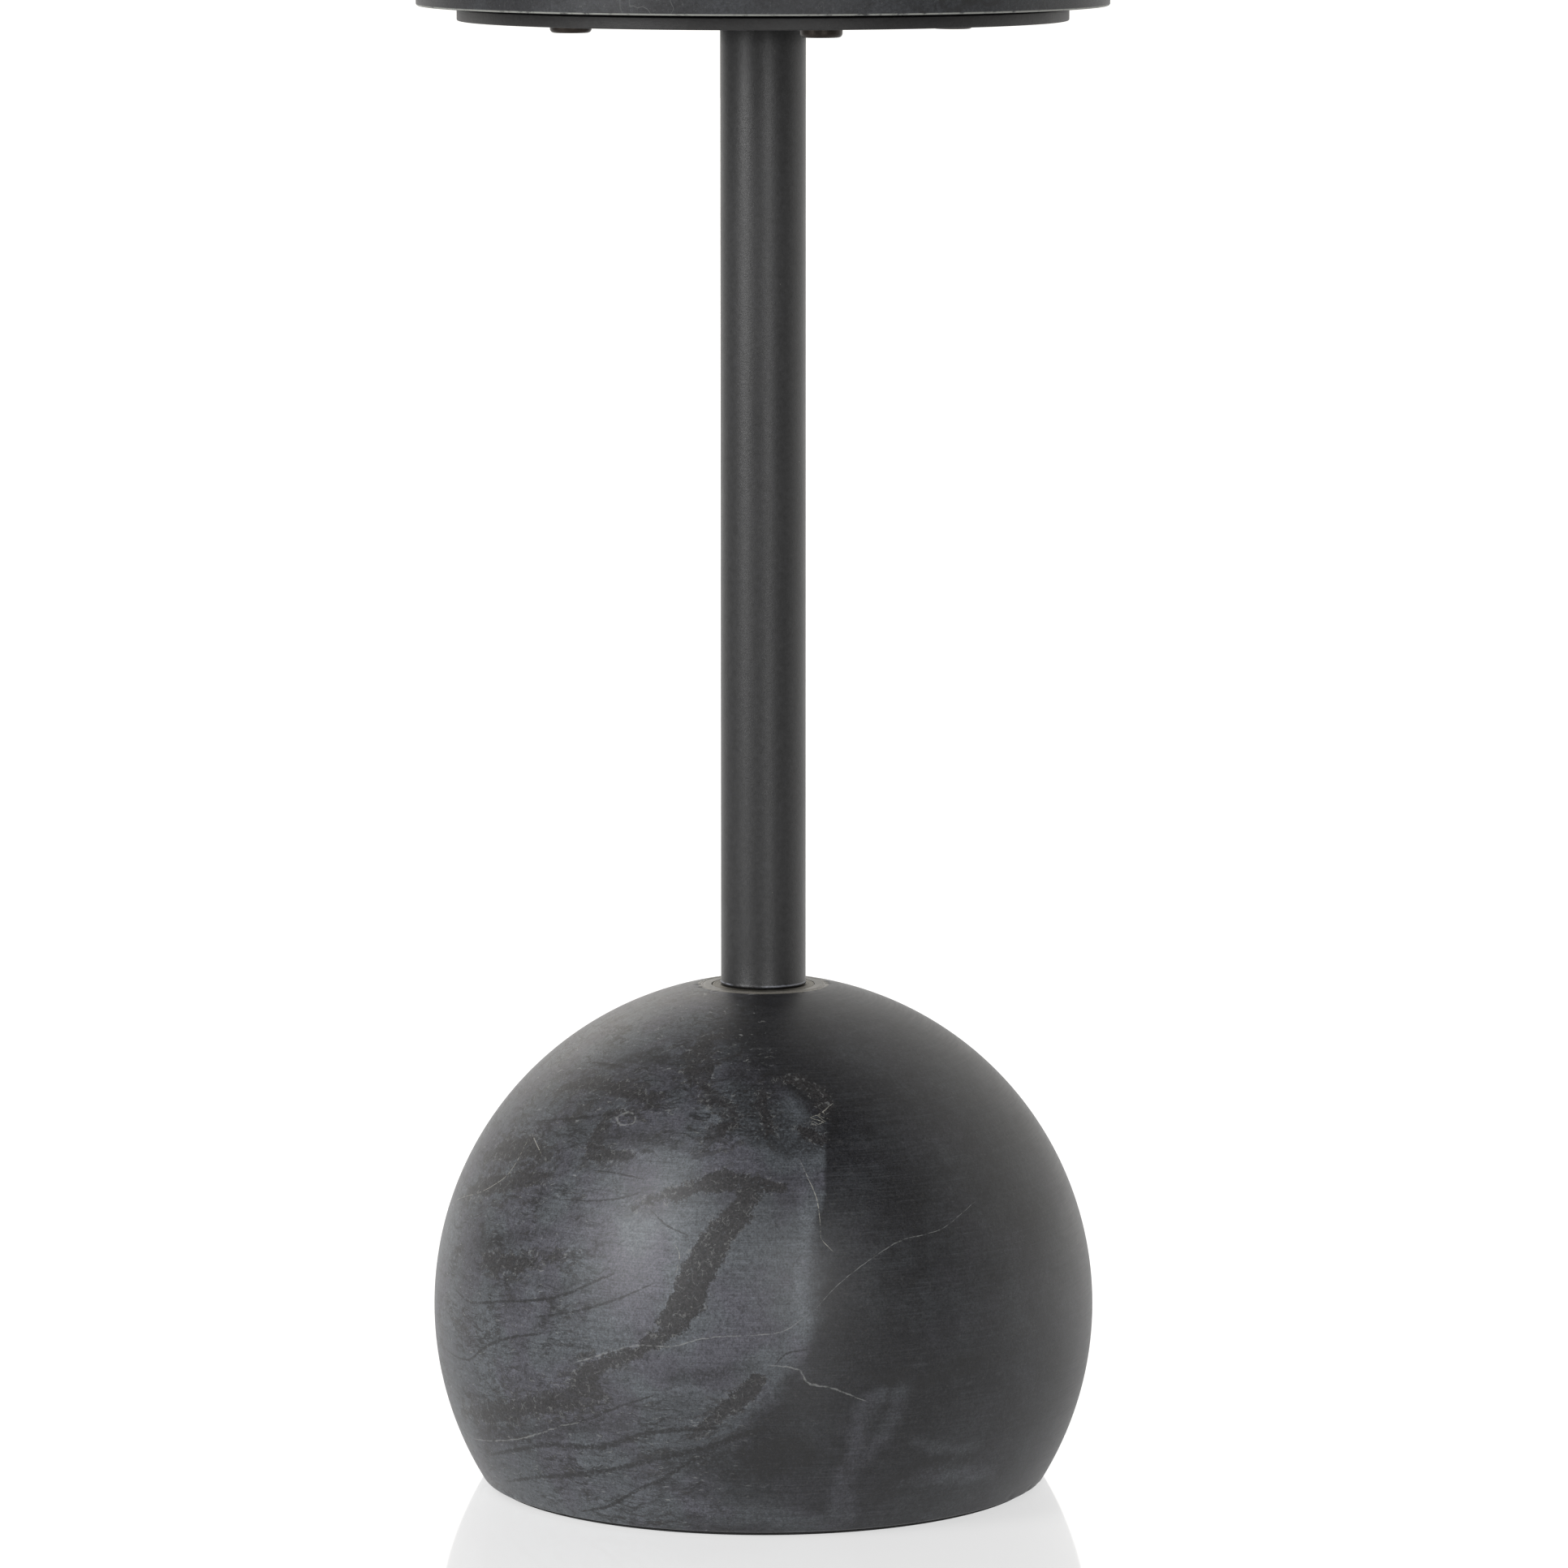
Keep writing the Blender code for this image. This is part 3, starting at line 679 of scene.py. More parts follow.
def ragged_seat(vertices):
    """Makes the gap round the flange uneven, and closes it in places as the dust in it does."""
    reach = np.linalg.norm(vertices[:, :2], axis=1)
    rim = (np.abs(reach - COUNTERBORE_RADIUS) < 0.0001) & (vertices[:, 2] > BASE_HIGH.z - 0.0004)
    angle = np.arctan2(vertices[rim, 1], vertices[rim, 0])
    wave = np.sin(3 * angle + 0.4) + 0.8 * np.sin(7 * angle + 1.9) + 0.6 * np.sin(19 * angle)
    closed = CLEARANCE * 0.9 * smoothstep(wave, -0.6, 0.5)
    vertices[rim, :2] *= (1 - closed / COUNTERBORE_RADIUS)[:, None]


def make_marble_ball():
    vertices, faces = turned_mesh(ball_profile(), BALL_STEPS)
    ragged_seat(vertices)
    chip_edge(vertices, POLE_RADIUS, BASE_HIGH.z, 46, 0.0009, 0.00022)
    foot = math.sqrt(BALL_RADIUS**2 - (BASE_LOW.z + FOOT_EDGE - BALL_CENTRE_Z) ** 2)
    chip_edge(vertices, foot, BASE_LOW.z + FOOT_EDGE, 26, 0.0022, 0.00030)
    ball = mesh_object("marble_ball", vertices, faces)
    positions = vertices / MM
    patches = [
        patch_field(positions, with_back(BANDS, BACK_BANDS)),
        patch_field(positions, with_back(SMUDGES, BACK_BANDS, BACK_VEINS)),
        patch_field(positions, with_back(WISPS, BACK_BANDS)),
    ]
    add_attribute(ball, "patches", np.stack(patches, 1))
    for name, curves, *moves in (
        ("dark_veins", DARK_VEINS, BACK_BANDS, BACK_VEINS),
        ("dark_veins_crossing", DARK_VEINS_CROSSING, BACK_BANDS),
        ("light_veins", LIGHT_VEINS, BACK_BANDS, BACK_VEINS),
        ("scratches", SCRATCHES, BACK_VEINS),
    ):
        add_attribute(ball, name, vein_field(positions, with_back(curves, *moves)))
    add_attribute(ball, "zones", ball_zones(positions))
    return finished(ball, "marble_base", marble_material())


DARK_STONE = (0.0128, 0.0130, 0.0150)
PALE_STONE = (0.090, 0.099, 0.110)
VIOLET_STONE = (0.080, 0.080, 0.096)
BAND_STONE = (0.0120, 0.0116, 0.0120)
BAND_GRAIN = (0.034, 0.032, 0.033)
PALE_VEIN = (0.22, 0.225, 0.22)
SPECK = (0.34, 0.33, 0.29)
DUST = (0.30, 0.28, 0.24)

# Where the dust on the pole's flat starts and is full: height and distance from the axis, in mm
DUST_HEIGHTS = (187.2, 187.5)
DUST_REACH = (24.9, 24.2)


def vein_mask(shade, name, wiggle, wiggle_size, softness):
    """1 inside the thin curves of one attribute and 0 outside, with an uneven edge."""
    side, strength, distance = shade.attribute(name)
    uneven = shade.plus(side, shade.signed(wiggle_size, wiggle, detail=4.0, roughness=0.65))
    inside = shade.ease(shade.math("ABSOLUTE", uneven), 1.0, 1.0 - softness)
    return shade.times(inside, strength, shade.ease(distance, 5.5, 3.5))


def lathe_marks(shade):
    """Level scratches from the turning, as a factor around 1."""
    fine = shade.noise(0.34, 2.0, 0.6, shade.scaled(shade.place, (0.020, 0.020, 1.0)))
    wide = shade.noise(1.1, 3.0, 0.6, shade.scaled(shade.warped(60.0, 1.0), (0.016, 0.016, 1.0)))
    return shade.sway(shade.sway(1.0, fine, 0.95), wide, 0.60), fine


def granular(shade, colour, mask, amount, speck_amount):
    """Dark crumbly stone inside a mask: dark grains, thin pale seams between lumps, and pale specks."""
    grain = shade.noise(0.90, 4.0, 0.8)
    lumps = shade.cells(3.4, shade.warped(2.0, 1.8), "DISTANCE_TO_EDGE")
    seam = shade.times(
        shade.ease(lumps.outputs["Distance"], 0.075, 0.01), shade.patchy(0.50, 0.62, 2.6, 3.0, 0.65)
    )
    speck = shade.patchy(0.60, 0.66, 1.2, 4.0, 0.8)
    dark = shade.mix(shade.ease(grain, 0.40, 0.62), BAND_STONE, BAND_GRAIN)
    colour = shade.mix(shade.times(mask, amount), colour, dark)
    colour = shade.mix(shade.times(mask, seam, speck_amount, 0.6), colour, PALE_VEIN)
    return shade.mix(shade.times(mask, speck, speck_amount), colour, PALE_STONE)


def marble_material():
    shade = Shade("honed_black_marble")
    edge, tone_and_painted_light, dense = shade.attribute("zones")
    band_gap, smudge_gap, wisp_gap = shade.attribute("patches")
    warped = shade.warped(26.0, 5.0)

    # pale and dark stone, with clouds in it; the soft tone adds a painted highlight and a painted
    # reflection of the top's underside
    ragged_edge = shade.plus(edge, shade.signed(3.0, 0.7, 3.0, 0.6))
    zone = shade.ease(ragged_edge, -1.0, 1.0)
    cloud = shade.noise(34.0, 4.0, 0.55, warped)
    mottle = shade.noise(7.0, 5.0, 0.66, warped)
    pale = shade.plus(shade.times(zone, 0.60), shade.math("SUBTRACT", tone_and_painted_light, 0.44))
    pale = shade.sway(pale, cloud, 0.50)
    pale = shade.sway(pale, mottle, 0.34)
    wisp = shade.ease(shade.plus(wisp_gap, shade.signed(6.0, 5.0, 5.0, 0.7)), 3.4, -3.0)
    pale = shade.plus(pale, shade.times(wisp, 0.28))
    pale = shade.math("MINIMUM", shade.math("MAXIMUM", pale, 0.0), 1.2)
    tint = shade.mix(shade.patchy(0.42, 0.62, 20.0, 2.0, 0.5, warped), PALE_STONE, VIOLET_STONE)
    colour = shade.mix(pale, DARK_STONE, tint)

    # grain and lathe marks
    grain = shade.noise(0.70, 3.0, 0.75)
    marks, streak = lathe_marks(shade)
    coarse = shade.noise(1.7, 4.0, 0.8)
    grained = shade.sway(1.0, grain, 2.6)
    grained = shade.sway(grained, coarse, 2.0)
    colour = shade.scaled(colour, shade.math("MAXIMUM", grained, 0.25))
    colour = shade.scaled(colour, shade.math("MAXIMUM", marks, 0.3))
    long_patch = shade.noise(16.0, 3.0, 0.6, shade.scaled(shade.place, (0.3, 0.3, 1.0)))
    line = shade.times(shade.ease(streak, 0.55, 0.70), shade.ease(long_patch, 0.42, 0.62), 0.11)
    colour = shade.mix(line, colour, PALE_STONE)
    dusting = shade.patchy(0.54, 0.66, 0.9, 3.0, 0.8)
    colour = shade.mix(shade.times(dusting, 0.045), colour, DUST)

    # fine slanting veins and crumbly spots, dense on the left
    slanted = shade.tree.nodes.new("ShaderNodeMapping")
    slanted.inputs["Rotation"].default_value = (0.0, math.radians(-17), 0.0)
    slanted.inputs["Scale"].default_value = (0.22, 0.22, 1.0)
    shade.fill(slanted.inputs["Vector"], shade.warped(9.0, 2.6))
    slant = slanted.outputs[0]
    where = shade.patchy(0.40, 0.58, 16.0, 3.0, 0.6, warped)
    for size, width, amount in ((7.0, 0.026, 0.85), (3.2, 0.022, 0.60)):
        ridge = shade.away_from(shade.noise(size, 5.0, 0.62, slant))
        thin = shade.times(shade.ease(ridge, width, 0.003), where, dense, amount)
        colour = shade.mix(thin, colour, BAND_STONE)
    crumbly = shade.scaled(slant, (2.3, 2.3, 1.0))
    short = shade.times(shade.patchy(0.54, 0.62, 2.2, 5.0, 0.85, crumbly), dense, 0.66)
    colour = shade.mix(short, colour, BAND_STONE)
    off_band = shade.times(shade.ease(band_gap, 1.0, 9.0), 0.12)
    loose = shade.math("SUBTRACT", shade.noise(3.0, 5.0, 0.8, crumbly), off_band)
    loose = shade.times(shade.ease(loose, 0.49, 0.54), shade.ease(dense, -0.4, 0.8))
    colour = granular(shade, colour, loose, 0.75, 0.40)
    spots = shade.patchy(0.545, 0.60, 6.0, 6.0, 0.78, crumbly)
    colour = granular(shade, colour, shade.times(spots, where, dense), 0.80, 0.45)
    glints = shade.times(shade.patchy(0.62, 0.70, 0.9, 3.0, 0.7, slant), shade.plus(dense, 0.12))
    colour = shade.mix(shade.times(glints, 0.45), colour, PALE_VEIN)

    # soft dark smudges
    smudge = shade.ease(shade.plus(smudge_gap, shade.signed(4.0, 3.4, 5.0, 0.7)), 2.2, -2.4)
    smudge = shade.times(smudge, shade.patchy(0.30, 0.62, 1.0, 3.0, 0.7), 0.70)
    colour = shade.mix(smudge, colour, BAND_STONE)

    # broad crumbly bands, with broken pale edges
    ragged = shade.plus(band_gap, shade.signed(6.5, 4.2, 4.0, 0.65))
    ragged = shade.plus(ragged, shade.signed(1.4, 3.2, 4.0, 0.8))
    broken = shade.patchy(0.42, 0.52, 3.4, 5.0, 0.8, crumbly)
    solid = shade.math("SUBTRACT", 1.0, shade.times(dense, shade.math("SUBTRACT", 1.0, broken), 0.45))
    band = shade.times(shade.ease(ragged, 0.35, -0.35), solid)
    halo = shade.times(
        shade.ease(shade.away_from(ragged, 0.6), 0.9, 0.2),
        shade.patchy(0.54, 0.64, 2.2, 4.0, 0.7),
    )
    colour = granular(shade, colour, band, 0.92, 0.62)
    colour = shade.mix(shade.times(halo, 0.40), colour, PALE_VEIN)

    # thin dark veins, pale hairlines and scratches
    thin_texture = shade.patchy(0.30, 0.54, 1.0, 3.0, 0.7)
    for name in ("dark_veins", "dark_veins_crossing"):
        vein = vein_mask(shade, name, 1.1, 1.8, 0.6)
        colour = shade.mix(shade.times(vein, thin_texture, 0.85), colour, BAND_STONE)
    hair_texture = shade.patchy(0.34, 0.58, 2.6, 4.0, 0.7)
    hair = vein_mask(shade, "light_veins", 2.0, 4.0, 0.8)
    colour = shade.mix(shade.times(hair, hair_texture, 0.55), colour, PALE_VEIN)
    scratch = vein_mask(shade, "scratches", 1.2, 6.0, 0.8)
    dashed = shade.patchy(0.38, 0.54, 1.8, 3.0, 0.7)
    colour = shade.mix(shade.times(scratch, dashed, 0.75), colour, SPECK)

    # dust and tool marks on the flat at the pole
    high_up = shade.ease(shade.parts(shade.place)[2], *DUST_HEIGHTS)
    on_top = shade.times(high_up, shade.ease(shade.from_axis(), *DUST_REACH))
    dusty = shade.times(on_top, shade.plus(shade.times(shade.noise(1.2, 4.0, 0.7), 0.9), 0.05))
    colour = shade.mix(dusty, colour, DUST)

    shade.set("Base Color", colour)
    rough = shade.sway(0.44, streak, 0.16)
    rough = shade.sway(rough, grain, 0.12)
    shade.set("Roughness", rough)
    shade.set("Specular IOR Level", 0.40)
    height_mix = shade.plus(shade.times(grain, 0.5), shade.times(streak, 0.6))
    shade.set("Normal", shade.bump(height_mix, 0.05, 0.6))
    return shade.material


# Stone top


EDGE_HIGHLIGHT_COLOUR = (0.34, 0.35, 0.32)


def top_material():
    """Black leathered stone: coarse grain, faint clouds and veins, and a painted highlight along the lower
    edge.
    """
    shade = Shade("leathered_black_marble")
    warped = shade.warped(38.0, 14.0)
    cloud = shade.noise(70.0, 4.0, 0.55, warped)
    mottle = shade.noise(8.0, 5.0, 0.62, warped)
    clouded = shade.sway(cloud, mottle, 0.35)
    colour = shade.mix(shade.times(shade.ease(clouded, 0.40, 0.68), 0.16), DARK_STONE, PALE_STONE)
    grain = shade.noise(1.1, 4.0, 0.8)
    colour = shade.scaled(colour, shade.sway(1.0, grain, 3.2))
    glint = shade.times(shade.patchy(0.60, 0.68, 0.9, 3.0, 0.8), 0.16)
    colour = shade.mix(glint, colour, PALE_VEIN)
    long_way = shade.scaled(warped, (1.0, 0.45, 1.0))
    for size, thin, wide, amount, tint in (
        (48.0, 0.004, 0.020, 0.70, BAND_STONE),
        (22.0, 0.002, 0.010, 0.40, BAND_STONE),
        (60.0, 0.0006, 0.0030, 0.22, PALE_VEIN),
        (31.0, 0.0004, 0.0020, 0.12, PALE_VEIN),
    ):
        vector = shade.shifted(long_way, (size * 3.1, size * 1.7, 0.0))
        ridge = shade.away_from(shade.noise(size, 4.0, 0.55, vector))
        where = shade.patchy(0.46, 0.60, size * 1.2, 2.0, 0.5, vector)
        colour = shade.mix(shade.times(shade.ease(ridge, wide, thin), where, amount), colour, tint)
    # painted highlight: a light line along the lower edge, where its rounding reflects the floor
    outer = shade.ease(shade.from_axis(), TOP_RADIUS / MM - 0.7, TOP_RADIUS / MM - 0.3)
    height = shade.parts(shade.place)[2]
    lowest = shade.ease(height, TOP_LOW.z / MM + 0.85, TOP_LOW.z / MM + 0.45)
    painted_edge_highlight = shade.times(outer, lowest, shade.patchy(0.30, 0.50, 5.0, 4.0, 0.7), 0.7)
    colour = shade.mix(painted_edge_highlight, colour, EDGE_HIGHLIGHT_COLOUR)
    shade.set("Base Color", colour)
    shade.set("Roughness", shade.plus(shade.times(grain, 0.16), 0.40))
    shade.set("Specular IOR Level", 0.35)
    shade.set("Normal", shade.bump(grain, 0.12, 0.8))
    return shade.material


def bolt_nodes():
    return [f"top_bolt_{number}" for number in range(1, 5)]


BORE_DEPTH = 0.013
CUT_PAST = 0.005


def make_stone_top():
    profile = rounded_disc_profile(TOP_RADIUS, TOP_LOW.z, TOP_HIGH.z, 0.0009)
    top = mesh_object("top_disc", *turned_disc(profile, 256))
    for number in range(1, 5):
        node = f"threaded_insert_{number}"
        radius = node_radius(node) + CLEARANCE
        centre = node_centre(node).xy
        cut(top, cylinder("bore", radius, TOP_LOW.z - CUT_PAST, TOP_LOW.z + BORE_DEPTH, centre))
    return finished(top, "stone_top", top_material())


# Painted metal


RIM_HIGHLIGHT_COLOUR = (0.20, 0.21, 0.24)
TUBE_WALL = 0.0015
WELD_LEG = 0.0030
WELD_BEADS = 34


def paint_material(name, colour, roughness, grain_size, grain_depth, highlight_height=None):
    """Black powder coat with a fine orange-peel texture and dust, and a painted highlight line at a height
    in mm.
    """
    shade = Shade(name)
    peel = shade.noise(grain_size, 3.0, 0.55)
    fine = shade.noise(grain_size * 0.3, 2.0, 0.6)
    blotch = shade.noise(30.0, 4.0, 0.6)
    tint = shade.sway(1.0, blotch, 0.35)
    tint = shade.sway(tint, fine, 0.5)
    base = shade.scaled(colour, tint)
    speck = shade.cells(5.0)
    dots = shade.ease(speck.outputs["Distance"], 0.035, 0.02)
    fleck = shade.times(dots, shade.patchy(0.56, 0.62, 9.0, 2.0))
    base = shade.mix(shade.times(fleck, 0.5), base, DUST)
    mottle = shade.noise(2.2, 4.0, 0.75)
    base = shade.scaled(base, shade.sway(1.0, mottle, 2.4))
    # painted highlight: a thin light line round the column just above its lower rim
    if highlight_height:
        above = shade.math("SUBTRACT", shade.parts(shade.place)[2], highlight_height)
        gap = shade.math("ABSOLUTE", shade.plus(above, shade.signed(3.0, 0.15, 3.0, 0.6)))
        rim_highlight = shade.times(shade.ease(gap, 0.42, 0.12), shade.patchy(0.38, 0.54, 9.0, 3.0, 0.6), 0.8)
        base = shade.mix(rim_highlight, base, RIM_HIGHLIGHT_COLOUR)
    shade.set("Base Color", base)
    shade.set("Roughness", shade.sway(roughness, blotch, 0.14))
    height = shade.plus(peel, shade.times(fine, 0.35))
    shade.set("Normal", shade.bump(height, grain_depth, 0.8))
    return shade.material


HOLE_RADIUS = 0.0045


def make_mounting_plate(material):
    profile = rounded_disc_profile(PLATE_RADIUS, PLATE_LOW.z, PLATE_HIGH.z, 0.0005)
    plate = mesh_object("plate_disc", *turned_disc(profile, 224))
    for node in bolt_nodes():
        centre = node_centre(node).xy
        cut(plate, cylinder("hole", HOLE_RADIUS, PLATE_LOW.z - CUT_PAST, PLATE_HIGH.z + CUT_PAST, centre))
    return finished(plate, "mounting_plate", material)


def make_column(material):
    """The tube, its lower outer rim rolled over and its upper end square."""
    low, high = COLUMN_LOW.z, COLUMN_HIGH.z
    inner = COLUMN_RADIUS - TUBE_WALL
    rim = 0.0007
    lip = 0.00022
    heights = np.linspace(high - 0.0004, low + rim + 0.0010, 40)
    profile = [(COLUMN_RADIUS - 0.0002, high)] + [(COLUMN_RADIUS, z) for z in heights]
    profile += [(COLUMN_RADIUS + lip * 0.4, low + rim + 0.0006), (COLUMN_RADIUS + lip, low + rim + 0.0002)]
    profile += arc((COLUMN_RADIUS + lip - rim, low + rim), rim, 0, -90, 8)
    profile += [(inner + 0.0002, low), (inner, low + 0.0002), (inner, high)]
    tube = mesh_object("column", *turned_mesh(profile, 144))
    return finished(tube, "column_tube", material)


def make_weld(material):
    """The fillet weld, with the ripples of its passes."""
    low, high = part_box("upper_weld_bead")
    inner = COLUMN_RADIUS + CLEARANCE
    leg = WELD_LEG
    low.z = high.z - leg
    reach = WELD_LEG
    face = []
    for share in np.linspace(0, 1, 12):
        face.append((inner + reach * (1 - 0.94 * share), high.z - leg * share))
    profile = face + [(inner, low.z), (inner, high.z)]
    vertices, faces = turned_mesh(profile, 360)
    rows = len(profile)
    angles = np.arctan2(vertices[:, 1], vertices[:, 0])
    row = np.arange(len(vertices)) % rows
    share = np.clip(row / (len(face) - 1), 0, 1)
    on_face = (row > 0) & (row < len(face) - 1)
    scallop = np.abs(np.sin(WELD_BEADS * angles / 2 + 2.2 * (share - 0.5) ** 2)) ** 0.7
    lift = on_face * np.sin(math.pi * share) * (scallop - 0.4) * 0.0004
    outward = vertices[:, :2] / np.linalg.norm(vertices[:, :2], axis=1)[:, None]
    vertices[:, :2] += outward * lift[:, None] * 0.7
    vertices[:, 2] -= lift * 0.7
    bead = mesh_object("weld_bead", vertices, faces, 60)
    return finished(bead, "upper_weld_bead", material)


# Rings on the flange's face: radius, and how deep each is turned into it
FLANGE_BORE = 0.0066
FLANGE_RINGS = [(0.012, 0), (0.0155, 0), (0.0166, 0), (0.0168, 0.00012), (0.0170, 0), (0.0178, 0)]
FLANGE_RINGS += [(0.0180, 0.00010), (0.0182, 0)]


def make_foot_flange(material):
    low, high = FLANGE_LOW.z, FLANGE_HIGH.z
    inner = FLANGE_BORE
    edge = 0.0004
    bevel = 0.0003
    top = [(inner + bevel, high)] + [(radius, high - depth) for radius, depth in FLANGE_RINGS]
    outside = arc((FLANGE_RADIUS - edge, high - edge), edge, 90, 0, 5)
    under = [(FLANGE_RADIUS, low + bevel), (FLANGE_RADIUS - bevel, low), (inner, low)]
    profile = top + outside + under + [(inner, high - bevel)]
    flange = mesh_object("foot_disc", *turned_mesh(profile, 144), 20)
    return finished(flange, "foot_flange", material)


# Fasteners


def metal_material(name, colour, roughness, metallic=1.0):
    """Plated or machined steel: fine turned lines, slight stains and wear."""
    shade = Shade(name)
    lines = shade.noise(0.35, 2.0, 0.6, shade.scaled(shade.place, (0.05, 0.05, 1.0)))
    stain = shade.noise(6.0, 5.0, 0.65)
    tint = shade.sway(1.0, stain, 0.7)
    tint = shade.sway(tint, lines, 0.4)
    shade.set("Base Color", shade.scaled(colour, tint))
    shade.set("Metallic", metallic)
    shade.set("Roughness", shade.plus(shade.times(stain, 0.24), roughness - 0.12))
    shade.set("Normal", shade.bump(lines, 0.02, 0.6))
    return shade.material


BOLT_SHANK = 0.004
BOLT_PITCH = 0.00125
BOLT_HEAD_TOP = 0.0042
BOLT_HEAD_TRIM = 0.0005
BOLT_EDGE = 0.0016
SOCKET_WIDTH = 0.010
SOCKET_DEPTH = 0.0024


def make_bolt(number, material):
    """A low round head with a hexagonal socket, and a shank."""
    node = f"top_bolt_{number}"
    low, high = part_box(node)
    centre = node_centre(node)
    radius = node_radius(node)
    head_top = low.z + BOLT_HEAD_TOP
    low.z += BOLT_HEAD_TRIM
    edge = BOLT_EDGE
    shank = BOLT_SHANK
    profile = [(0.0, high.z), (shank - 0.0010, high.z), (shank, high.z - 0.0010)]
    crests = int((high.z - 0.0012 - head_top - 0.001) / BOLT_PITCH)
    for crest in range(crests):
        z = high.z - 0.0011 - crest * BOLT_PITCH
        profile += [(shank, z - 0.0001), (shank - 0.0006, z - 0.0006), (shank, z - 0.0011)]
    profile += [(shank, head_top), (radius - 0.0003, head_top), (radius, head_top - 0.0003)]
    profile += arc((radius - edge, low.z + edge), edge, 0, -90, 8)
    profile += [(radius * 0.62, low.z), (0.0, low.z)]
    bolt = mesh_object(f"bolt_{number}", *turned_disc(profile, 64))
    bolt.location = (centre.x, centre.y, 0)
    bpy.context.view_layer.update()
    bolt.data.transform(bolt.matrix_world)
    bolt.location = (0, 0, 0)
    turn = math.atan2(centre.y, centre.x)
    across = SOCKET_WIDTH / 2 / math.sqrt(3)
    socket = cylinder("socket", across, low.z - 0.001, low.z + SOCKET_DEPTH, centre.xy, 6, turn)
    cut(bolt, socket)
    return finished(bolt, node, material)


ROD_PITCH = 0.00175
ROD_BEVEL = 0.0011


def make_tie_rod(material):
    """The rod, with its thread cut as rings of the true pitch."""
    low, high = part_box("tie_rod")
    radius = node_radius("tie_rod")
    pitch = ROD_PITCH
    profile = [(0.0, high.z), (radius - ROD_BEVEL, high.z), (radius, high.z - ROD_BEVEL)]
    z = high.z - 0.0013
    while z - pitch > low.z + 0.0012:
        profile += [(radius, z), (radius - 0.0010, z - pitch * 0.5), (radius, z - pitch * 0.92)]
        z -= pitch
    profile += [(radius, low.z + ROD_BEVEL), (radius - ROD_BEVEL, low.z), (0.0, low.z)]
    rod = mesh_object("threaded_rod", *turned_disc(profile, 40), 25)
    return finished(rod, "tie_rod", material)


PAD_INNER = 0.028
PAD_EDGE = 0.00035


def make_base_pad(material):
    """The foam ring, its edges a little rounded."""
    low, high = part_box("base_pad")
    outer = node_radius("base_pad")
    inner = PAD_INNER
    soft = PAD_EDGE
    profile = [(r, high.z) for r in np.linspace(inner + soft, outer - soft, 14)]
    profile += arc((outer - soft, high.z - soft), soft, 75, 0, 4)
    profile += arc((outer - soft, low.z + soft), soft, 0, -90, 5)
    profile += [(r, low.z) for r in np.linspace(outer - soft, inner + soft, 14)[1:]]
    profile += arc((inner + soft, low.z + soft), soft, -105, -180, 4)
    profile += arc((inner + soft, high.z - soft), soft, 180, 105, 4)
    pad = mesh_object("foam_pad", *turned_mesh(profile, 180))
    return finished(pad, "base_pad", material)


def foam_material():
    shade = Shade("black_foam")
    cells = shade.cells(0.9)
    noise = shade.noise(4.0, 4.0, 0.6)
    tint = shade.plus(shade.times(noise, 0.8), 0.6)
    shade.set("Base Color", shade.scaled((0.012, 0.012, 0.012), tint))
    shade.set("Roughness", shade.plus(shade.times(noise, 0.1), 0.82))
    shade.set("Normal", shade.bump(cells.outputs["Distance"], 0.15, 0.7))
    return shade.material


def rubber_material():
    shade = Shade("black_rubber")
    noise = shade.noise(2.0, 4.0, 0.6)
    shade.set("Base Color", shade.scaled((0.010, 0.010, 0.011), shade.plus(noise, 0.5)))
    shade.set("Roughness", shade.plus(shade.times(noise, 0.2), 0.7))
    shade.set("Normal", shade.bump(noise, 0.05, 0.6))
    return shade.material


def repaint(node, material):
    """A CAD node keeps its shape and gets a better material."""
    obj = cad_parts[node]
    obj.data.materials.clear()
    obj.data.materials.append(material)


# Stage: floor, lights, camera


# Studio walls: direction towards each, where its light starts and is full as a cosine, and how bright it is
DIM_STUDIO = 0.20
STUDIO_WALLS = [
    ((0.34, 0.940, 0.0), -0.05, 0.45, 0.97),
    ((-1.0, 0.0, 0.0), 0.10, 0.95, 0.05),
    ((0.0, 0.0, 1.0), 0.55, 0.95, -0.50),
]


# Where the floor's glow starts to rise and is full, in mm towards the back
FLOOR_NEAR = (-1100.0, -220.0)


def make_floor():
    """A glossy white floor, wide enough to reach past the horizon line of the view."""
    mesh = bpy.data.meshes.new("studio_floor")
    shape = bmesh.new()
    bmesh.ops.create_circle(shape, cap_ends=True, radius=12.0, segments=96)
    shape.to_mesh(mesh)
    shape.free()
    floor = linked("studio_floor", mesh, (0, 0, -0.0001))
    shade = Shade("white_floor")
    near = shade.ease(shade.parts(shade.place)[1], *FLOOR_NEAR)
    shade.set("Base Color", (0.25, 0.25, 0.25))
    shade.set("Roughness", 0.06)
    shade.set("Emission Color", (1.0, 1.0, 1.0))
    shade.set("Emission Strength", shade.plus(shade.times(near, 0.22), 0.41))
    mesh.materials.append(shade.material)


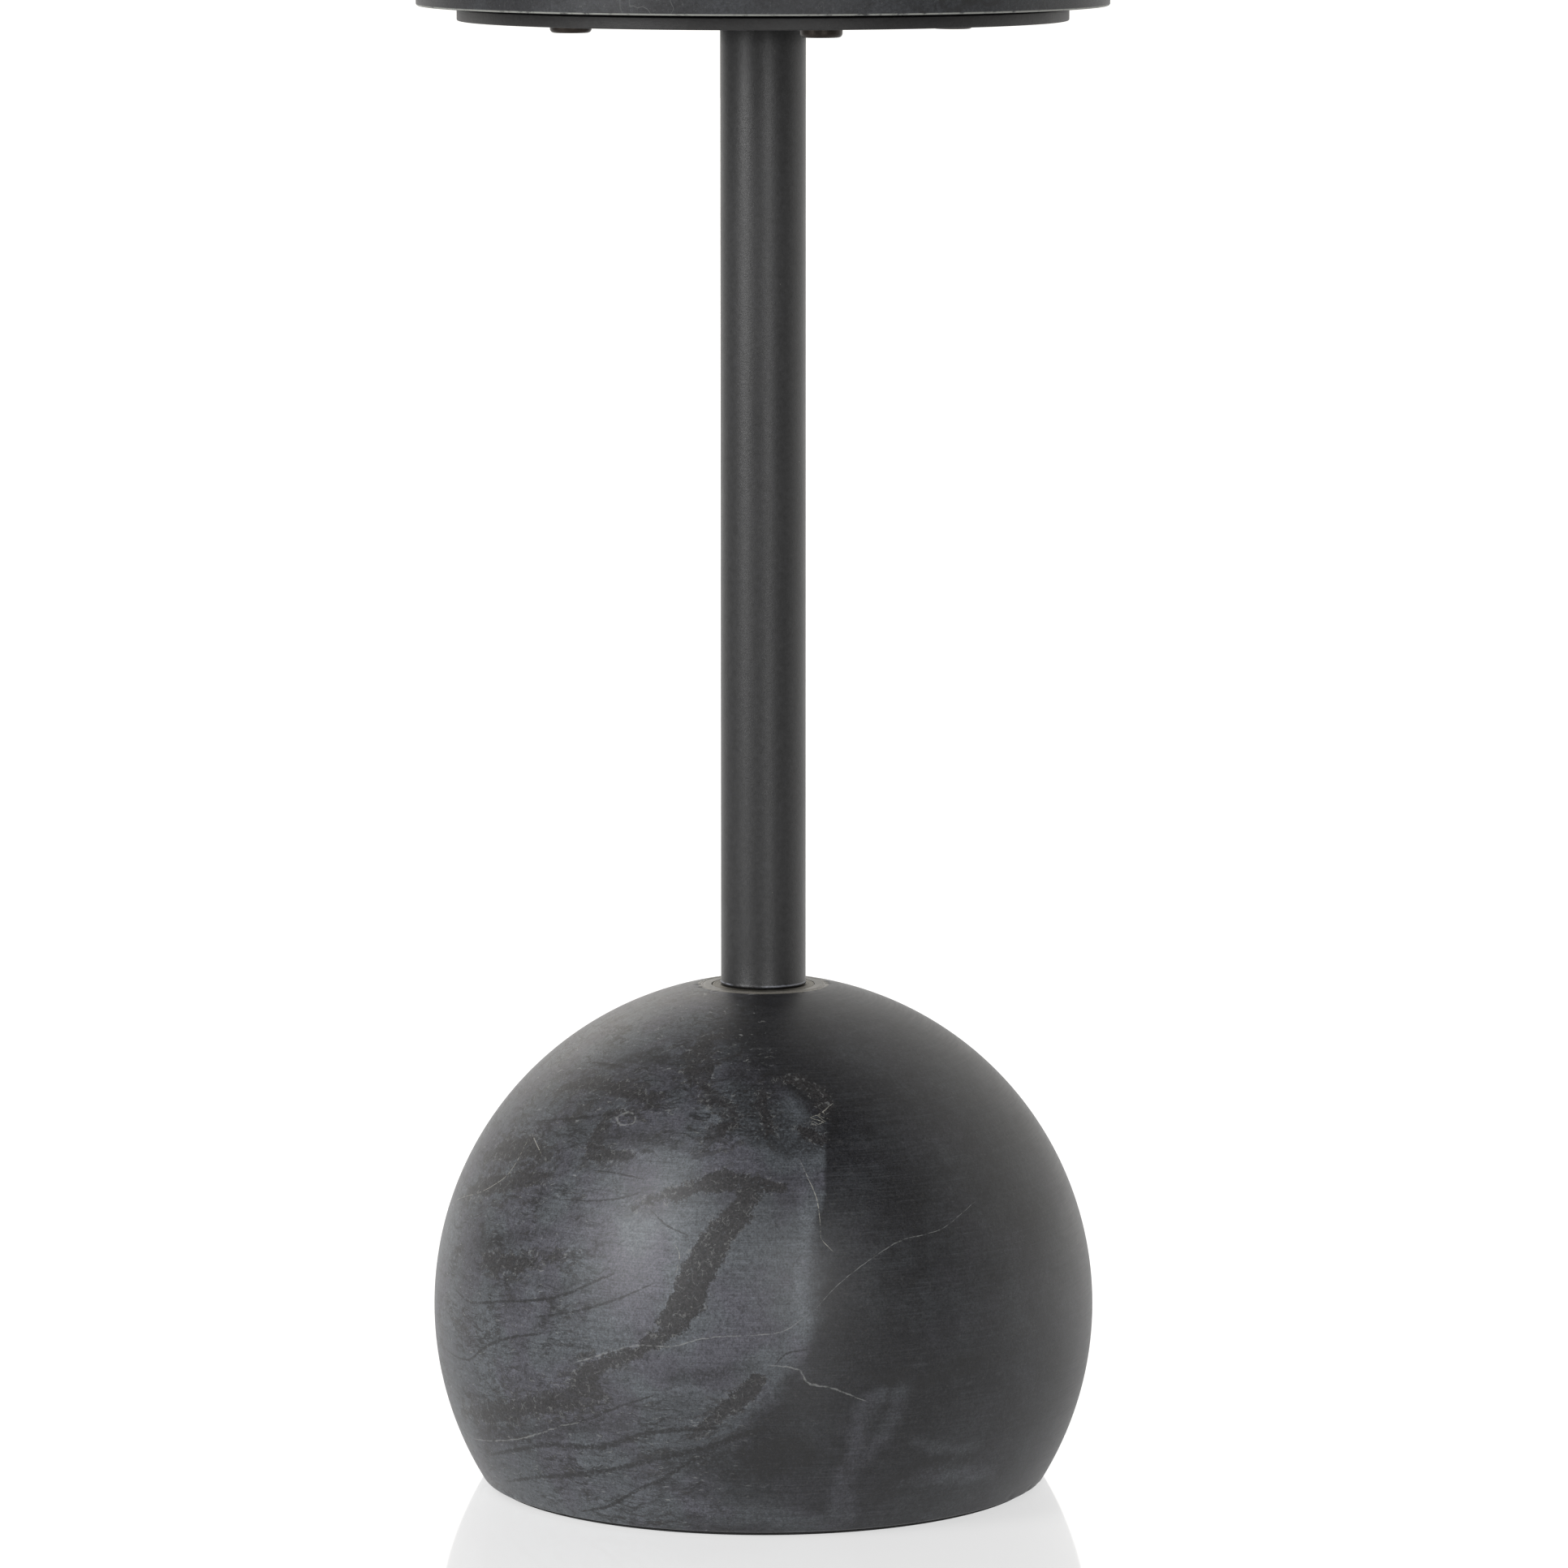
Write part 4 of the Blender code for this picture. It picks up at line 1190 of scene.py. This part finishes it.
def make_world():
    """A studio that is white behind the table, dim behind the camera and darker overhead."""
    world = bpy.data.worlds.new("white_studio")
    world.use_nodes = True
    tree = world.node_tree
    direction = tree.nodes.new("ShaderNodeTexCoord").outputs["Generated"]
    total = DIM_STUDIO
    for towards, start, end, amount in STUDIO_WALLS:
        facing = tree.nodes.new("ShaderNodeVectorMath")
        facing.operation = "DOT_PRODUCT"
        tree.links.new(direction, facing.inputs[0])
        facing.inputs[1].default_value = towards
        ramp = tree.nodes.new("ShaderNodeMapRange")
        ramp.interpolation_type = "SMOOTHSTEP"
        tree.links.new(facing.outputs["Value"], ramp.inputs["Value"])
        ramp.inputs["From Min"].default_value = start
        ramp.inputs["From Max"].default_value = end
        ramp.inputs["To Max"].default_value = amount
        add = tree.nodes.new("ShaderNodeMath")
        tree.links.new(ramp.outputs[0], add.inputs[0])
        if isinstance(total, float):
            add.inputs[1].default_value = total
        else:
            tree.links.new(total, add.inputs[1])
        total = add.outputs[0]
    background = tree.nodes["Background"]
    background.inputs["Color"].default_value = (1.0, 0.985, 0.955, 1)
    tree.links.new(total, background.inputs["Strength"])
    bpy.context.scene.world = world


LIGHT_TARGET = (0, 0, 0.25)


def add_softbox(name, place, size, power, colour=(1, 1, 1)):
    light = bpy.data.lights.new(name, "AREA")
    light.shape = "RECTANGLE"
    light.size, light.size_y = size
    light.energy = power
    light.color = colour
    towards = Vector(LIGHT_TARGET) - Vector(place)
    linked(name, light, place, towards.to_track_quat("-Z", "Y").to_euler())


CAMERA_DISTANCE = 2.868
CAMERA_HEIGHT = 0.6427
CAMERA_PITCH = 0.1316
CAMERA_YAW = 0.0027
CAMERA_LENS = 177.68


def make_camera():
    camera = bpy.data.cameras.new("camera")
    camera.lens = CAMERA_LENS
    camera.sensor_width = 36.0
    camera.clip_start = 0.05
    camera.clip_end = 60.0
    place = (0, -CAMERA_DISTANCE, CAMERA_HEIGHT)
    rotation = (math.pi / 2 - CAMERA_PITCH, 0, -CAMERA_YAW)
    bpy.context.scene.camera = linked("camera", camera, place, rotation)


make_camera()
make_world()
make_floor()
add_softbox("key_left", (-1.32, -1.12, 1.10), (0.66, 1.60), 34)
add_softbox("fill_front", (0.60, -2.50, 0.95), (0.50, 1.40), 23)
add_softbox("shoulder_back", (-0.85, 2.20, 1.20), (1.20, 0.90), 4, (1.0, 0.94, 0.84))
bpy.context.scene.view_settings.view_transform = "Standard"

powder_coat = paint_material("black_powder_coat", (0.0105, 0.0100, 0.0100), 0.52, 1.1, 0.10)
# height in mm of the painted highlight line on the column's lower rim
rim_highlight_height = COLUMN_LOW.z / MM + 0.95
column_paint = paint_material("black_satin_paint", (0.014, 0.014, 0.0147), 0.42, 0.9, 0.07, rim_highlight_height)
flange_finish = metal_material("dusty_steel", (0.16, 0.15, 0.13), 0.55)
black_oxide = metal_material("black_oxide", (0.030, 0.024, 0.020), 0.40, metallic=0.8)
zinc = metal_material("zinc_plate", (0.55, 0.56, 0.57), 0.35)
bare_steel = metal_material("bare_steel", (0.38, 0.38, 0.39), 0.45)
brass = metal_material("brass", (0.63, 0.46, 0.20), 0.35)

make_marble_ball()
make_stone_top()
make_mounting_plate(powder_coat)
make_weld(powder_coat)
make_column(column_paint)
make_foot_flange(flange_finish)
for number in range(1, 5):
    make_bolt(number, black_oxide)
    repaint(f"threaded_insert_{number}", brass)
make_tie_rod(zinc)
pad = make_base_pad(foam_material())
repaint("top_gasket", rubber_material())
repaint("column_plug", bare_steel)
for node in ("base_washer", "spring_washer", "hex_nut"):
    repaint(node, zinc)
